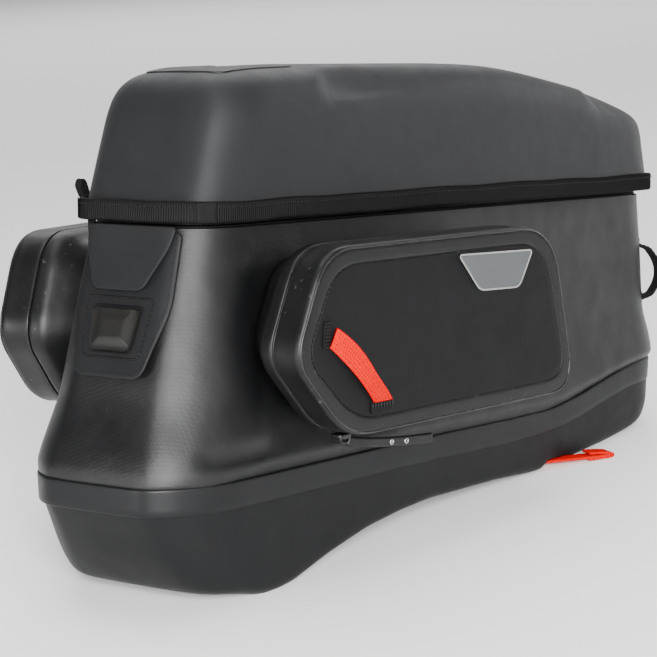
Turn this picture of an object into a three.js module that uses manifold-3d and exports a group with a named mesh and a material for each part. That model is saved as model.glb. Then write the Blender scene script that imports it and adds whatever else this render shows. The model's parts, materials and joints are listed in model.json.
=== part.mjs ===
// Motorcycle tank bag: a moulded base and tarpaulin body with a zipped lid, two side pockets and a tank ring.
// The bag's own frame has X to the front, Y to the left, Z up and z = 0 at the lid's lower edge. It is drawn
// to the proportions of a 466 mm long bag and brought to its real size, in millimetres, by SCALE.
import * as THREE from "three";
import { mergeVertices } from "three/addons/utils/BufferGeometryUtils.js";
import Module from "manifold-3d";

const wasm = await Module();
wasm.setup();

// ---- driving dimensions ----
const SCALE = 0.9; // real millimetres for each one drawn
const GAP = 0.35; // clearance between pieces that touch
const FLARE = 0.181; // how much half-width the bag gains per millimetre towards the front
const LID_REAR = { x: -5, w: 42 };
const LID_FRONT_X = 409;
const STANCE = THREE.MathUtils.degToRad(5.7); // standing on its base, the bag leans forward by this
const CENTRE_X = 207.1; // the bag-frame X that stands over the origin, before the lean
const STAND_REAR_X = 30;
const STAND_REAR_Z = -189;

const BINDING_TOP = 10.5;
const LID_WALL = 4;
const BODY_TOP = -3;
const BODY_WALL = 2.5;
const BASE_WALL = 5;
const SEAM_Z = -133; // middle of the weld band
const BAND_HEIGHT = 13;

const POCKET = { w: 93.8, angle: THREE.MathUtils.degToRad(9.67), shell: 15, zip: 4, rim: 4.5, wall: 3 };
const RING = { x: 165, outer: 46, inner: 38, height: 7, seatZ: -160.5, screwCircle: 42 };
const LATCH_ANGLE = THREE.MathUtils.degToRad(-39);

// ---- small helpers ----
const lerp = THREE.MathUtils.lerp;
const clamp = THREE.MathUtils.clamp;
const sideWidth = (x) => LID_REAR.w + FLARE * (x - LID_REAR.x);
const smooth = (x, a, b) => THREE.MathUtils.smoothstep(x, a, b);
const v3 = (x, y, z) => new THREE.Vector3(x, y, z);

// The line, seen from the side, on which the standing bag touches its surface.
const standZ = (x) => STAND_REAR_Z + Math.tan(STANCE) * (x - STAND_REAR_X);

// Height along a row of [x, z] stations.
function along(stations, x) {
  const last = stations.length - 1;
  if (x <= stations[0][0]) return stations[0][1];
  for (let i = 0; i < last; i += 1) {
    const [x0, z0] = stations[i];
    const [x1, z1] = stations[i + 1];
    if (x <= x1) return lerp(z0, z1, (x - x0) / (x1 - x0));
  }
  return stations[last][1];
}

// A closed solid through rings that all have the same number of points. A wrapped loft joins its last ring
// to its first, as a wall with a mouth at both ends; any other has a fan over each end.
function loft(rings, wrapped = false) {
  const count = rings[0].length;
  const points = rings.flat();
  const faces = [];
  const strips = wrapped ? rings.length : rings.length - 1;
  for (let r = 0; r < strips; r += 1) {
    const a = r * count;
    const b = ((r + 1) % rings.length) * count;
    for (let i = 0; i < count; i += 1) {
      const j = (i + 1) % count;
      faces.push(a + i, a + j, b + j, a + i, b + j, b + i);
    }
  }
  if (!wrapped) {
    const last = (rings.length - 1) * count;
    fan(points, faces, rings[0], 0, true);
    fan(points, faces, rings[rings.length - 1], last, false);
  }
  return outward(points, faces);
}

function fan(points, faces, ring, start, reversed) {
  const hub = points.length;
  points.push(ring.reduce((sum, p) => sum.add(p), v3(0, 0, 0)).divideScalar(ring.length));
  ring.forEach((_, i) => {
    const j = (i + 1) % ring.length;
    faces.push(hub, ...(reversed ? [start + j, start + i] : [start + i, start + j]));
  });
}

function outward(points, faces) {
  let volume = 0;
  for (let i = 0; i < faces.length; i += 3) {
    const [a, b, c] = [points[faces[i]], points[faces[i + 1]], points[faces[i + 2]]];
    volume += a.dot(b.clone().cross(c));
  }
  const index = volume < 0 ? faces.toReversed() : faces;
  const position = new Float32Array(points.flatMap((p) => [p.x, p.y, p.z]));
  return new THREE.BufferGeometry()
    .setAttribute("position", new THREE.BufferAttribute(position, 3))
    .setIndex(index);
}

// The same solid on the other side of the bag.
function mirrored(geometry) {
  const position = geometry.getAttribute("position");
  const flipped = geometry.clone().scale(1, -1, 1);
  const order = geometry.index ? [...geometry.index.array] : [...Array(position.count).keys()];
  return flipped.setIndex(order.toReversed());
}

function toSolid(geometry) {
  const bare = new THREE.BufferGeometry().setAttribute("position", geometry.getAttribute("position"));
  if (geometry.index) bare.setIndex(geometry.index);
  const merged = mergeVertices(bare.index ? bare.toNonIndexed() : bare, 1e-4);
  return new wasm.Manifold(
    new wasm.Mesh({
      numProp: 3,
      vertProperties: new Float32Array(merged.attributes.position.array),
      triVerts: new Uint32Array(merged.index.array),
    }),
  );
}

function toGeometry(solid) {
  const mesh = solid.getMesh();
  return new THREE.BufferGeometry()
    .setAttribute("position", new THREE.BufferAttribute(mesh.vertProperties, mesh.numProp))
    .setIndex(new THREE.BufferAttribute(mesh.triVerts, 1));
}

const cut = (geometry, ...tools) =>
  toGeometry(tools.reduce((solid, tool) => solid.subtract(toSolid(tool)), toSolid(geometry)));
const join = (...geometries) => toGeometry(geometries.map(toSolid).reduce((a, b) => a.add(b)));

// ---- outlines ----
// A closed outline of a polygon with rounded corners, as [x, y] points: each corner is [x, y, radius].
function roundedOutline(corners, perCorner = 5, perEdge = 1) {
  const path = [];
  corners.forEach(([x, y, r], i) => {
    const here = new THREE.Vector2(x, y);
    const before = new THREE.Vector2(...corners[(i + corners.length - 1) % corners.length].slice(0, 2));
    const after = new THREE.Vector2(...corners[(i + 1) % corners.length].slice(0, 2));
    const start = here.clone().add(before.sub(here).setLength(r));
    const end = here.clone().add(after.sub(here).setLength(r));
    const corner = new THREE.QuadraticBezierCurve(start, here, end);
    path.push(...corner.getPoints(perCorner - 1));
  });
  if (perEdge === 1) return path;
  return path.flatMap((p, i) => {
    const next = path[(i + 1) % path.length];
    const long = i % perCorner === perCorner - 1;
    return long ? Array.from({ length: perEdge }, (_, k) => p.clone().lerp(next, k / perEdge)) : [p];
  });
}

// The bag's plan as a closed ring. rear and front are the sharp corners {x, w} on the left side, bow is how
// far an end face stands out at its middle, and round is how far a corner's rounding reaches.
function planRing({ rear, front, bow, round }, height) {
  const rearMid = new THREE.Vector2(rear.x - bow[0], 0);
  const frontMid = new THREE.Vector2(front.x + bow[1], 0);
  const rearPull = new THREE.Vector2(rearMid.x, rear.w * 0.5);
  const frontPull = new THREE.Vector2(frontMid.x, front.w * 0.5);
  const k1 = new THREE.Vector2(rear.x, rear.w);
  const k2 = new THREE.Vector2(front.x, front.w);
  const towards = (from, to, reach) => from.clone().add(to.clone().sub(from).setLength(reach));
  const [a, b] = [towards(k1, rearPull, round[0]), towards(k1, k2, round[0])];
  const [c, d] = [towards(k2, k1, round[1]), towards(k2, frontPull, round[1])];
  const pieces = [
    [new THREE.QuadraticBezierCurve(rearMid, rearPull, a), 4],
    [new THREE.QuadraticBezierCurve(a, k1, b), 4],
    [new THREE.LineCurve(b, c), 9],
    [new THREE.QuadraticBezierCurve(c, k2, d), 5],
    [new THREE.QuadraticBezierCurve(d, frontPull, frontMid), 4],
  ];
  const half = pieces.flatMap(([curve, n]) => curve.getPoints(n).slice(0, n));
  const left = [...half, frontMid];
  const right = half.slice(1).map((p) => new THREE.Vector2(p.x, -p.y));
  return [...left, ...right.reverse()].map((p) => v3(p.x, p.y, height(p.x, p.y)));
}

// A plan grown by d on every side (shrunk when d is negative).
const grown = (plan, d) => ({
  ...plan,
  rear: { x: plan.rear.x - d, w: plan.rear.w + d },
  front: { x: plan.front.x + d, w: plan.front.w + d },
});

const mixedPlan = (p, q, t) => ({
  rear: { x: lerp(p.rear.x, q.rear.x, t), w: lerp(p.rear.w, q.rear.w, t) },
  front: { x: lerp(p.front.x, q.front.x, t), w: lerp(p.front.w, q.front.w, t) },
  bow: [0, 1].map((i) => lerp(p.bow[i], q.bow[i], t)),
  round: [0, 1].map((i) => lerp(p.round[i], q.round[i], t)),
});

const LID_PLAN = {
  rear: LID_REAR,
  front: { x: LID_FRONT_X, w: sideWidth(LID_FRONT_X) },
  bow: [3, 8],
  round: [11, 34],
};
const BODY_TOP_PLAN = { rear: { x: -1, w: 39 }, front: { x: 404, w: 110 }, bow: [3, 8], round: [12, 32] };
const BODY_LOW_PLAN = { rear: { x: -33, w: 52 }, front: { x: 408, w: 118 }, bow: [11, 8], round: [22, 32] };

// ---- lid ----
const CROWN = [[20, 75], [90, 77], [180, 79.5], [250, 79], [310, 70.5], [360, 61], [395, 53], [412, 49]];
const crownZ = (x) => along(CROWN, x);

// Rows up the lid: share of the crown's height, how far the sides and the front draw in, and the rear wall.
const LID_ROWS = [
  { rise: 0, inset: 0, rearX: -5 },
  { rise: 0.13, inset: 0.3, rearX: -1 },
  { rise: 0.45, inset: 1.6, rearX: 8 },
  { rise: 0.74, inset: 3.2, rearX: 17 },
  { rise: 0.87, inset: 6.5, rearX: 23 },
  { rise: 0.95, inset: 13, rearX: 31 },
  { rise: 0.99, inset: 24, rearX: 43 },
  { rise: 1, inset: 38, rearX: 62 },
];

const lidPlan = (row, d = 0) => ({
  rear: { x: row.rearX - d, w: Math.max(sideWidth(row.rearX) - row.inset + d, 8) },
  front: { x: LID_FRONT_X - row.inset * 0.9 + d, w: sideWidth(LID_FRONT_X) - row.inset + d },
  bow: [lerp(3, 5, row.rise), lerp(8, 6, row.rise)],
  round: [lerp(11, 16, row.rise), lerp(34, 38, row.rise)],
});

const lidHeight = (row, low, drop = 0) => (x) => low + row.rise * (crownZ(x) - drop - low);

const PAD_CORNERS = [[36, 26, 8], [104, 32, 10], [104, -32, 10], [36, -26, 8]];

// The rubber pad on the lid's top, grown by d, between two heights above the crown.
function padSolid(d, low, high) {
  const corners = PAD_CORNERS.map(([x, y, r]) => [x + Math.sign(x - 70) * d, y + Math.sign(y) * d, r]);
  const outline = roundedOutline(corners, 4, 4);
  return loft([low, high].map((lift) => outline.map((p) => v3(p.x, p.y, crownZ(p.x) + lift))));
}

const lidTopPad = () => padSolid(0, -1.6, 0.4);

function lidShell() {
  const outer = LID_ROWS.map((row) => planRing(lidPlan(row, -1.2), lidHeight(row, GAP)));
  const inner = LID_ROWS.map((row) => planRing(lidPlan(row, -1.2 - LID_WALL), lidHeight(row, GAP, LID_WALL)));
  return cut(loft([...outer.reverse(), ...inner]), padSolid(0.5, -2, 6));
}

function wallRing(plan, thickness, low, high) {
  const inside = grown(plan, -thickness);
  return loft([planRing(plan, low), planRing(plan, high), planRing(inside, high), planRing(inside, low)], true);
}

const lidBinding = () => wallRing(grown(LID_PLAN, 0.6), 1.4, () => 0, () => BINDING_TOP);
const zipTapeLid = () => wallRing(grown(BODY_TOP_PLAN, -1), 9, () => -1.3, () => 0);
const zipTapeBody = () => wallRing(grown(BODY_TOP_PLAN, -1), 9, () => -2.7, () => -1.3 - GAP);

// The net that holds papers against the lid's ceiling.
function lidPocket() {
  const plan = lidPlan({ rise: 0.9, inset: 27, rearX: 55 });
  const ceiling = (x) => crownZ(x) - LID_WALL;
  return loft([planRing(plan, (x) => ceiling(x) - 4.6), planRing(plan, (x) => ceiling(x) - 3)]);
}

// The tongue under the lid's rear edge lies along the leaning rear face.
const rearFaceX = (z) => along([[-189, -20], [-174, -35.5], [-134, -48.5], [-119, -44.5], [-77, -31.6], [-38, -18.2], [0, -5.3]], z);

function rearPlate(outline, lift, thickness) {
  const rings = [lift, lift + thickness].map((d) => outline.map(([y, z]) => v3(rearFaceX(z) - d, y, z)));
  return loft(rings);
}

const rearOutline = (corners, perEdge = 3) => roundedOutline(corners, 4, perEdge).map((p) => [p.x, p.y]);

const FLAP = [[-27, -1.5, 3], [-25, -12, 4], [-15, -32.5, 4], [15, -32.5, 4], [25, -12, 4], [27, -1.5, 3]];
const PATCH = [[-28, -4.5, 3], [-29.5, -42, 7], [-20, -75, 6], [20, -75, 6], [29.5, -42, 7], [28, -4.5, 3]];
const BADGE = [[-14.5, -41.5, 3], [-12, -62, 3], [12, -62, 3], [14.5, -41.5, 3]];

// ---- body ----
const seamZ = (x) => SEAM_Z + 19 * smooth(x, 262, 392) - 1.5 * smooth(x, 120, 240);

function bodyRow(t, d = 0) {
  const plan = grown(mixedPlan(BODY_TOP_PLAN, BODY_LOW_PLAN, t), d);
  return planRing(plan, (x) => lerp(BODY_TOP, seamZ(x) + GAP, t));
}

const BODY_STEPS = [0, 0.25, 0.5, 0.75, 1];

function bodyWall() {
  const outer = BODY_STEPS.map((t) => bodyRow(t));
  const inner = BODY_STEPS.map((t) => bodyRow(t, -BODY_WALL)).reverse();
  return loft([...outer, ...inner], true);
}

const solidBody = (d) => loft(BODY_STEPS.map((t) => bodyRow(t, d)));

function weldBand() {
  const half = BAND_HEIGHT / 2;
  return wallRing(grown(BODY_LOW_PLAN, 2.2), 1.4, (x) => seamZ(x) - half, (x) => seamZ(x) + half);
}

// ---- base ----
const KEEL = [[12, -187.6], [22, standZ(22)], [42, standZ(42)], [55, -183.5], [70, -178.4], [104, -169.8],
  [135, -165.4], [160, -163.4], [225, -163.4], [262, -165], [272, standZ(272)], [345, standZ(345)],
  [365, -154.6], [392, -151], [412, -148]];
const keelZ = (x) => along(KEEL, x);

const BASE_ROWS = [
  { drop: 0, rear: { x: -33, w: 52 }, front: { x: 408, w: 118 }, bow: [11, 8], round: [22, 32] },
  { drop: 0.3, rear: { x: -31, w: 53.5 }, front: { x: 408, w: 118.5 }, bow: [11, 8], round: [22, 32] },
  { drop: 0.68, rear: { x: -18, w: 55.5 }, front: { x: 407, w: 118 }, bow: [11, 8], round: [22, 34] },
  { drop: 0.9, rear: { x: -3, w: 56.5 }, front: { x: 403, w: 116 }, bow: [9, 7], round: [20, 36] },
  { drop: 1, rear: { x: 9, w: 54.5 }, front: { x: 395, w: 109.5 }, bow: [6, 6], round: [18, 38] },
];

function baseRow(row, d = 0, lift = 0) {
  return planRing(grown(row, d), (x) => lerp(seamZ(x) - GAP, keelZ(x) + lift, row.drop));
}

const alongLatch = (radius, across, z) => {
  const [c, s] = [Math.cos(LATCH_ANGLE), Math.sin(LATCH_ANGLE)];
  return v3(RING.x + c * radius - s * across, s * radius + c * across, z);
};

// A straight bar along the latch's direction, between two radii from the ring's centre.
function latchBar(from, to, width, low, high) {
  const half = width / 2;
  const ring = (z) => [[from, -half], [to, -half], [to, half], [from, half]].map(([r, a]) => alongLatch(r, a, z));
  return loft([ring(low), ring(high)]);
}

function disc(radius, height, x, y, z, sides = 32) {
  return new THREE.CylinderGeometry(radius, radius, height, sides)
    .rotateX(Math.PI / 2)
    .translate(x, y, z + height / 2);
}

const SCREWS = [0, 90, 180, 270].map((angle) => {
  const a = THREE.MathUtils.degToRad(angle);
  return [RING.x + RING.screwCircle * Math.cos(a), RING.screwCircle * Math.sin(a)];
});
const screwHoles = (low, high) => SCREWS.map(([x, y]) => disc(2.2 + GAP, high - low, x, y, low, 12));

const BOARD_Z = -154.6;

function baseShell() {
  const rim = BASE_ROWS[BASE_ROWS.length - 1];
  const bottom = planRing(grown(rim, -22), (x) => keelZ(x));
  const outer = [bottom, ...BASE_ROWS.map((row) => baseRow(row)).reverse()];
  const inner = BASE_ROWS.map((row) => baseRow(row, -BASE_WALL, BASE_WALL + 1.5));
  const floor = planRing(grown(rim, -27), (x) => keelZ(x) + BASE_WALL + 1.5);
  const tray = loft([...outer, ...inner, floor]);
  const seat = disc(RING.outer + 1, 20, RING.x, 0, RING.seatZ - 20, 48);
  const latchBay = tabStrip([[40, -163], [94, -164.7]], 24, 12, 2.4);
  const channel = tabStrip([...TAB_ROUTE.slice(1), [215, -159]], 14.6, 12, 2.4);
  return cut(tray, seat, latchBay, channel, ...screwHoles(-175, -145));
}

// The stiff plate on the bag's floor, which the ring's screws clamp.
function baseBoard() {
  const corners = [[118, 44, 10], [232, 56, 12], [232, -56, 12], [118, -44, 10]];
  const outline = roundedOutline(corners, 4);
  const plate = loft([BOARD_Z, BOARD_Z + 2.5].map((z) => outline.map((p) => v3(p.x, p.y, z))));
  return cut(plate, ...screwHoles(-165, -140));
}

// ---- tank ring and its latch ----
function ringAdapter() {
  const { x, outer, inner, height, seatZ } = RING;
  const top = seatZ - GAP;
  const low = top - height;
  const profile = [[inner, low], [outer - 1, low], [outer, low + 1], [outer, top], [inner + 1.5, top], [inner, low + 4]];
  const points = [...profile, profile[0]].map(([r, z]) => new THREE.Vector2(r, z));
  const ring = new THREE.LatheGeometry(points, 48).rotateX(Math.PI / 2).translate(x, 0, 0);
  const slot = latchBar(30, 60, 14, low - 1, low + 4.2);
  const heads = SCREWS.map(([sx, sy]) => disc(3.4 + GAP, 3.3, sx, sy, low - 1, 16));
  return cut(outwardCopy(ring), slot, ...heads, ...screwHoles(-175, -150));
}

function outwardCopy(geometry) {
  const merged = mergeVertices(new THREE.BufferGeometry()
    .setAttribute("position", geometry.getAttribute("position"))
    .setIndex(geometry.index), 1e-3);
  const position = merged.getAttribute("position");
  const points = Array.from({ length: position.count }, (_, i) => v3().fromBufferAttribute(position, i));
  return outward(points, [...merged.index.array]);
}

const RING_LOW = RING.seatZ - GAP - RING.height;

const ringScrew = (x, y) => join(
  disc(3.4, 2, x, y, RING_LOW + 0.2, 16),
  disc(2.2, BOARD_Z + 6 - RING_LOW - 2, x, y, RING_LOW + 2, 12),
);

const ringNut = (x, y) => cut(
  disc(4.2, 3, x, y, BOARD_Z + 2.5 + GAP, 6),
  disc(2.2 + GAP, 20, x, y, BOARD_Z - 5, 12),
);

const ringLatch = () => join(
  latchBar(50, 72, 20, RING_LOW + 0.4, RING_LOW + 5.4),
  latchBar(35.5, 51, 13, RING_LOW + 0.4, RING_LOW + 3.4),
);

// A flat strip along the red tab's route: it leaves the latch, rises into the base's channel and ends outside
// the bag's right side. Each station is [distance from the ring's centre, height of the tab's underside].
const TAB_ROUTE = [[72 + GAP, RING_LOW + 1], [92, RING_LOW + 3], [130, -161.6], [191, -159.7]];

function tabStrip(route, width, under, over) {
  const half = width / 2;
  const section = ([radius, low]) => [[-half, -under], [half, -under], [half, over], [-half, over]]
    .map(([across, height]) => alongLatch(radius, across, low + height));
  return loft(route.map(section));
}

const releaseTab = () => tabStrip(TAB_ROUTE, 11, 0, 2);

// ---- side pockets, on the left side of the bag; the right side mirrors them ----
const U = v3(Math.cos(POCKET.angle), Math.sin(POCKET.angle), 0);
const N = v3(-Math.sin(POCKET.angle), Math.cos(POCKET.angle), 0);
const onPocket = (u, z, d) => v3(0, POCKET.w, 0).addScaledVector(U, u).addScaledVector(N, d).setZ(z);

const POCKET_CORNERS = [
  [-6.5, -64, 12], [16, -10.5, 17], [210, -9.5, 26], [235, -98, 12], [225, -107, 10], [33, -107, 16],
];
const POCKET_MID = new THREE.Vector2(114, -60);

function pocketRing(inset, d, shiftRear = 0) {
  const outline = roundedOutline(POCKET_CORNERS, 5, 2);
  return outline.map((p) => {
    const out = p.clone().sub(POCKET_MID);
    const reach = 1 - inset / Math.min(Math.abs(out.x) + 20, 110);
    const u = POCKET_MID.x + out.x * (1 - inset / 120) + shiftRear * (1 - smooth(p.x, 0, 120));
    return onPocket(u, POCKET_MID.y + out.y * (1 - inset / 50) * Math.min(reach + 1, 1), d);
  });
}

const ZIP_FACE = -POCKET.shell - GAP;
const ZIP_BACK = ZIP_FACE - POCKET.zip;

function pocketShell() {
  const { shell, wall } = POCKET;
  const outer = [pocketRing(3.5, 0), pocketRing(0.8, -1.6), pocketRing(0, -5), pocketRing(0, -shell)];
  const inner = [pocketRing(wall, -shell), pocketRing(wall, -wall - 2), pocketRing(wall + 3, -wall)];
  return loft([...outer, ...inner]);
}

const pocketPanel = () => loft([pocketRing(9, GAP), pocketRing(9, GAP + 1.2)]);

function pocketTape(near, far) {
  return loft([pocketRing(1.7, near), pocketRing(1.7, far), pocketRing(6.6, far), pocketRing(6.6, near)], true);
}

function pocketBack() {
  const { rim, wall } = POCKET;
  const front = ZIP_BACK - GAP;
  const outer = [pocketRing(0, front), pocketRing(0, front - rim), pocketRing(5, front - rim - 2), pocketRing(9, -50, 12)];
  const inner = [pocketRing(9 + wall, -50, 12), pocketRing(5 + wall, front - rim - 2), pocketRing(wall, front - rim), pocketRing(wall, front)];
  return cut(loft([...outer, ...inner], true), solidBody(GAP));
}

// A flat bar between two points [u, z] of the pocket's face.
function pocketBar(from, to, width, low, high) {
  const a = new THREE.Vector2(...from);
  const b = new THREE.Vector2(...to);
  const side = b.clone().sub(a).rotateAround(new THREE.Vector2(), Math.PI / 2).setLength(width / 2);
  const ends = [a.clone().add(side), b.clone().add(side), b.clone().sub(side), a.clone().sub(side)];
  return loft([low, high].map((d) => ends.map((p) => onPocket(p.x, p.y, d))));
}

const FACE = GAP + 1.2 + GAP;
const STRAP = [[25, -54], [59, -95]];

function pocketStrap() {
  const sections = [0, 0.12, 0.3, 0.5, 0.7, 0.88, 1];
  const a = new THREE.Vector2(...STRAP[0]);
  const b = new THREE.Vector2(...STRAP[1]);
  const side = b.clone().sub(a).rotateAround(new THREE.Vector2(), Math.PI / 2).setLength(6.75);
  const rings = sections.map((t) => {
    const p = a.clone().lerp(b, t);
    const lift = FACE + 3 * Math.sin(Math.PI * t);
    const quad = [[side, 0], [side, 1.6], [side.clone().negate(), 1.6], [side.clone().negate(), 0]];
    return quad.map(([s, h]) => onPocket(p.x + s.x, p.y + s.y, lift + h));
  });
  return loft(rings);
}

function pocketReflector() {
  const outline = roundedOutline([[121, -21, 3], [188, -22.5, 3], [176, -42, 4], [140, -41, 4]], 4);
  return loft([FACE, FACE + 0.8].map((d) => outline.map((p) => onPocket(p.x, p.y, d))));
}

const SLIDER = { u: 56, z: -108.5, d: (ZIP_FACE + ZIP_BACK) / 2 - 6 };
const pocketSlider = () => join(
  pocketBar([SLIDER.u - 5, SLIDER.z - 2.6], [SLIDER.u + 5, SLIDER.z - 2.6], 4, SLIDER.d - 4, SLIDER.d + 4),
  pocketBar([SLIDER.u - 2, SLIDER.z - 5], [SLIDER.u + 4, SLIDER.z - 5], 3, SLIDER.d - 1.2, SLIDER.d + 1.2),
);
const pocketPull = () => pocketBar(
  [SLIDER.u + 6.2, SLIDER.z - 7],
  [SLIDER.u + 76, SLIDER.z - 13.5],
  5.5,
  SLIDER.d - 1.2,
  SLIDER.d + 1.2,
);

// ---- front of the bag ----
function bodyFrontX(y, z) {
  const t = clamp((BODY_TOP - z) / (BODY_TOP - SEAM_Z), 0, 1);
  const plan = mixedPlan(BODY_TOP_PLAN, BODY_LOW_PLAN, t);
  const edge = clamp(Math.abs(y) / plan.front.w, 0, 1);
  return plan.front.x + plan.bow[1] * (1 - edge * edge);
}

const HANDLE_Z = -46;

function sweptBand(points, width, thickness) {
  const curve = new THREE.CatmullRomCurve3(points);
  const steps = 24;
  const rings = Array.from({ length: steps + 1 }, (_, i) => {
    const p = curve.getPoint(i / steps);
    const along = curve.getTangent(i / steps);
    const up = v3(0, 0, 1);
    const out = up.clone().cross(along).normalize();
    const corners = [[-1, -1], [1, -1], [1, 1], [-1, 1]];
    return corners.map(([a, b]) => p.clone()
      .addScaledVector(out, (a * thickness) / 2)
      .addScaledVector(up, (b * width) / 2));
  });
  return loft(rings);
}

const handleX = bodyFrontX(0, HANDLE_Z) + 1;
const HANDLE_ROUTE = [[-62, 8], [-48, 12], [-30, 21], [0, 25], [30, 21], [48, 12], [62, 8]];
const handlePath = (stations) => stations.map(([y, out]) => v3(handleX + out, y, HANDLE_Z));
const handleStrap = () => sweptBand(handlePath(HANDLE_ROUTE), 24, 2.4);
const handleGrip = () => cut(
  sweptBand(handlePath([[-33, 19.6], [-16, 23.8], [0, 25], [16, 23.8], [33, 19.6]]), 28, 8),
  sweptBand(handlePath(HANDLE_ROUTE), 24.8, 3.2),
);

function handleAnchor(side) {
  const rings = [0, 2].map((d) => roundedOutline([[52, -60, 3], [76, -60, 3], [76, -32, 3], [52, -32, 3]], 3, 3)
    .map((p) => v3(bodyFrontX(p.x, p.y) + 3 + d, side * p.x, p.y)));
  return loft(rings);
}

// A short loop of webbing on a front corner, made fast above and below.
function cornerLoop() {
  const rings = Array.from({ length: 15 }, (_, i) => {
    const t = i / 14;
    const z = lerp(-36, -71, t);
    const plan = grown(mixedPlan(BODY_TOP_PLAN, BODY_LOW_PLAN, (BODY_TOP - z) / (BODY_TOP - SEAM_Z)), 0);
    const base = v3(plan.front.x - 9, plan.front.w - 10.5, z);
    const out = v3(0.72, 0.69, 0);
    const across = v3(0.69, -0.72, 0);
    const lift = 3.4 + 11 * Math.sin(Math.PI * t) ** 0.7;
    return [[0, -5], [2, -5], [2, 5], [0, 5]].map(([d, a]) => base.clone()
      .addScaledVector(out, lift + d)
      .addScaledVector(across, a));
  });
  return loft(rings);
}

function lidHinge() {
  const outline = roundedOutline([[-84, -16, 3], [84, -16, 3], [84, -2.2, 2], [-84, -2.2, 2]], 3, 8);
  return loft([1.2, 2.6].map((d) => outline.map((p) => v3(bodyFrontX(p.x, BODY_TOP - 6) + 3 + d, p.x, p.y))));
}

// ---- main zip slider, parked at the left rear corner ----
function boxAt(lx, ly, lz, x, y, z, turn = 0) {
  return new THREE.BoxGeometry(lx, ly, lz).rotateZ(turn).translate(x, y, z);
}
const SIDE_TURN = Math.atan(FLARE);
const mainSlider = () => boxAt(11, 3.6, 7, 20, 45.6, -6, SIDE_TURN);
function mainPull() {
  const shape = new THREE.Shape(roundedOutline([[17, -10, 2], [23, -6, 2], [3, 21, 3], [-3, 17, 3]], 4));
  const hole = roundedOutline([[3, 11.5, 1], [6, 13.5, 1], [2, 18.5, 1], [-1, 16.5, 1]], 3);
  shape.holes.push(new THREE.Path(hole.reverse()));
  return new THREE.ExtrudeGeometry(shape, { depth: 2, bevelEnabled: false })
    .rotateX(Math.PI / 2)
    .rotateZ(SIDE_TURN)
    .translate(5, 52.2, -0.5);
}

// ---- assembly ----
const LOOK = {
  eva: { color: 0x3c3e40, roughness: 0.75 },
  tarpaulin: { color: 0x2c2d2e, roughness: 0.42 },
  base: { color: 0x343536, roughness: 0.65 },
  webbing: { color: 0x1d1d1e, roughness: 0.9 },
  red: { color: 0xe8321e, roughness: 0.85 },
  reflector: { color: 0x8b9196, roughness: 0.35 },
  rubber: { color: 0x2a2a29, roughness: 0.6 },
  plastic: { color: 0x202122, roughness: 0.5 },
  steel: { color: 0xa4a6a8, roughness: 0.35, metalness: 0.9 },
};

const bag = new THREE.Group();

function add(name, look, geometry) {
  const mesh = new THREE.Mesh(geometry, new THREE.MeshStandardMaterial(LOOK[look]));
  mesh.name = name;
  bag.add(mesh);
}

add("base_shell", "base", baseShell());
add("base_board", "plastic", baseBoard());
add("weld_band", "tarpaulin", weldBand());
add("body_wall", "tarpaulin", bodyWall());
add("zip_tape_body", "webbing", zipTapeBody());
add("lid_hinge", "webbing", lidHinge());
add("rear_patch", "rubber", rearPlate(rearOutline(PATCH), 0.8, 1.6));
add("badge_plate", "rubber", rearPlate(rearOutline(BADGE), 2.8, 3));

add("lid_shell", "eva", lidShell());
add("lid_binding", "webbing", lidBinding());
add("zip_tape_lid", "webbing", zipTapeLid());
add("lid_top_pad", "rubber", lidTopPad());
add("lid_mesh_pocket", "webbing", lidPocket());
add("rear_flap", "eva", rearPlate(rearOutline(FLAP), 3.4, 2.4));

add("main_zip_slider", "plastic", mainSlider());
add("main_zip_pull", "rubber", mainPull());

add("ring_adapter", "plastic", ringAdapter());
SCREWS.forEach(([x, y], i) => add("ring_screw_" + (i + 1), "steel", ringScrew(x, y)));
SCREWS.forEach(([x, y], i) => add("ring_nut_" + (i + 1), "steel", ringNut(x, y)));
add("ring_latch", "plastic", ringLatch());
add("release_tab", "red", releaseTab());

add("handle_strap", "webbing", handleStrap());
add("handle_grip", "rubber", handleGrip());

const PAIRS = [
  ["pocket_back", "tarpaulin", pocketBack],
  ["pocket_tape_back", "webbing", () => pocketTape((ZIP_FACE + ZIP_BACK) / 2 - GAP / 2, ZIP_BACK)],
  ["pocket_tape_front", "webbing", () => pocketTape(ZIP_FACE, (ZIP_FACE + ZIP_BACK) / 2 + GAP / 2)],
  ["pocket_shell", "tarpaulin", pocketShell],
  ["pocket_panel", "eva", pocketPanel],
  ["pocket_strap", "red", pocketStrap],
  ["pocket_reflector", "reflector", pocketReflector],
  ["pocket_slider", "plastic", pocketSlider],
  ["pocket_pull", "rubber", pocketPull],
  ["corner_loop", "webbing", cornerLoop],
  ["handle_anchor", "webbing", () => handleAnchor(1)],
];
for (const [name, look, build] of PAIRS) {
  const geometry = build();
  add(name + "_left", look, geometry);
  add(name + "_right", look, mirrored(geometry));
}

// Standing on its base, the bag leans forward about the stand line.
bag.position.set(-CENTRE_X, 0, -standZ(CENTRE_X));
const stand = new THREE.Group();
stand.rotation.y = STANCE;
stand.scale.setScalar(SCALE);
stand.add(bag);
export default new THREE.Group().add(stand);
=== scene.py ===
"""The looks of a motorcycle tank bag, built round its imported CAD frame."""
import json
from math import atan, copysign, cos, dist, hypot, pi, radians, sin, sqrt, tan, tau

import bmesh
import bpy
from mathutils import Matrix, Vector, noise


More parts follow.
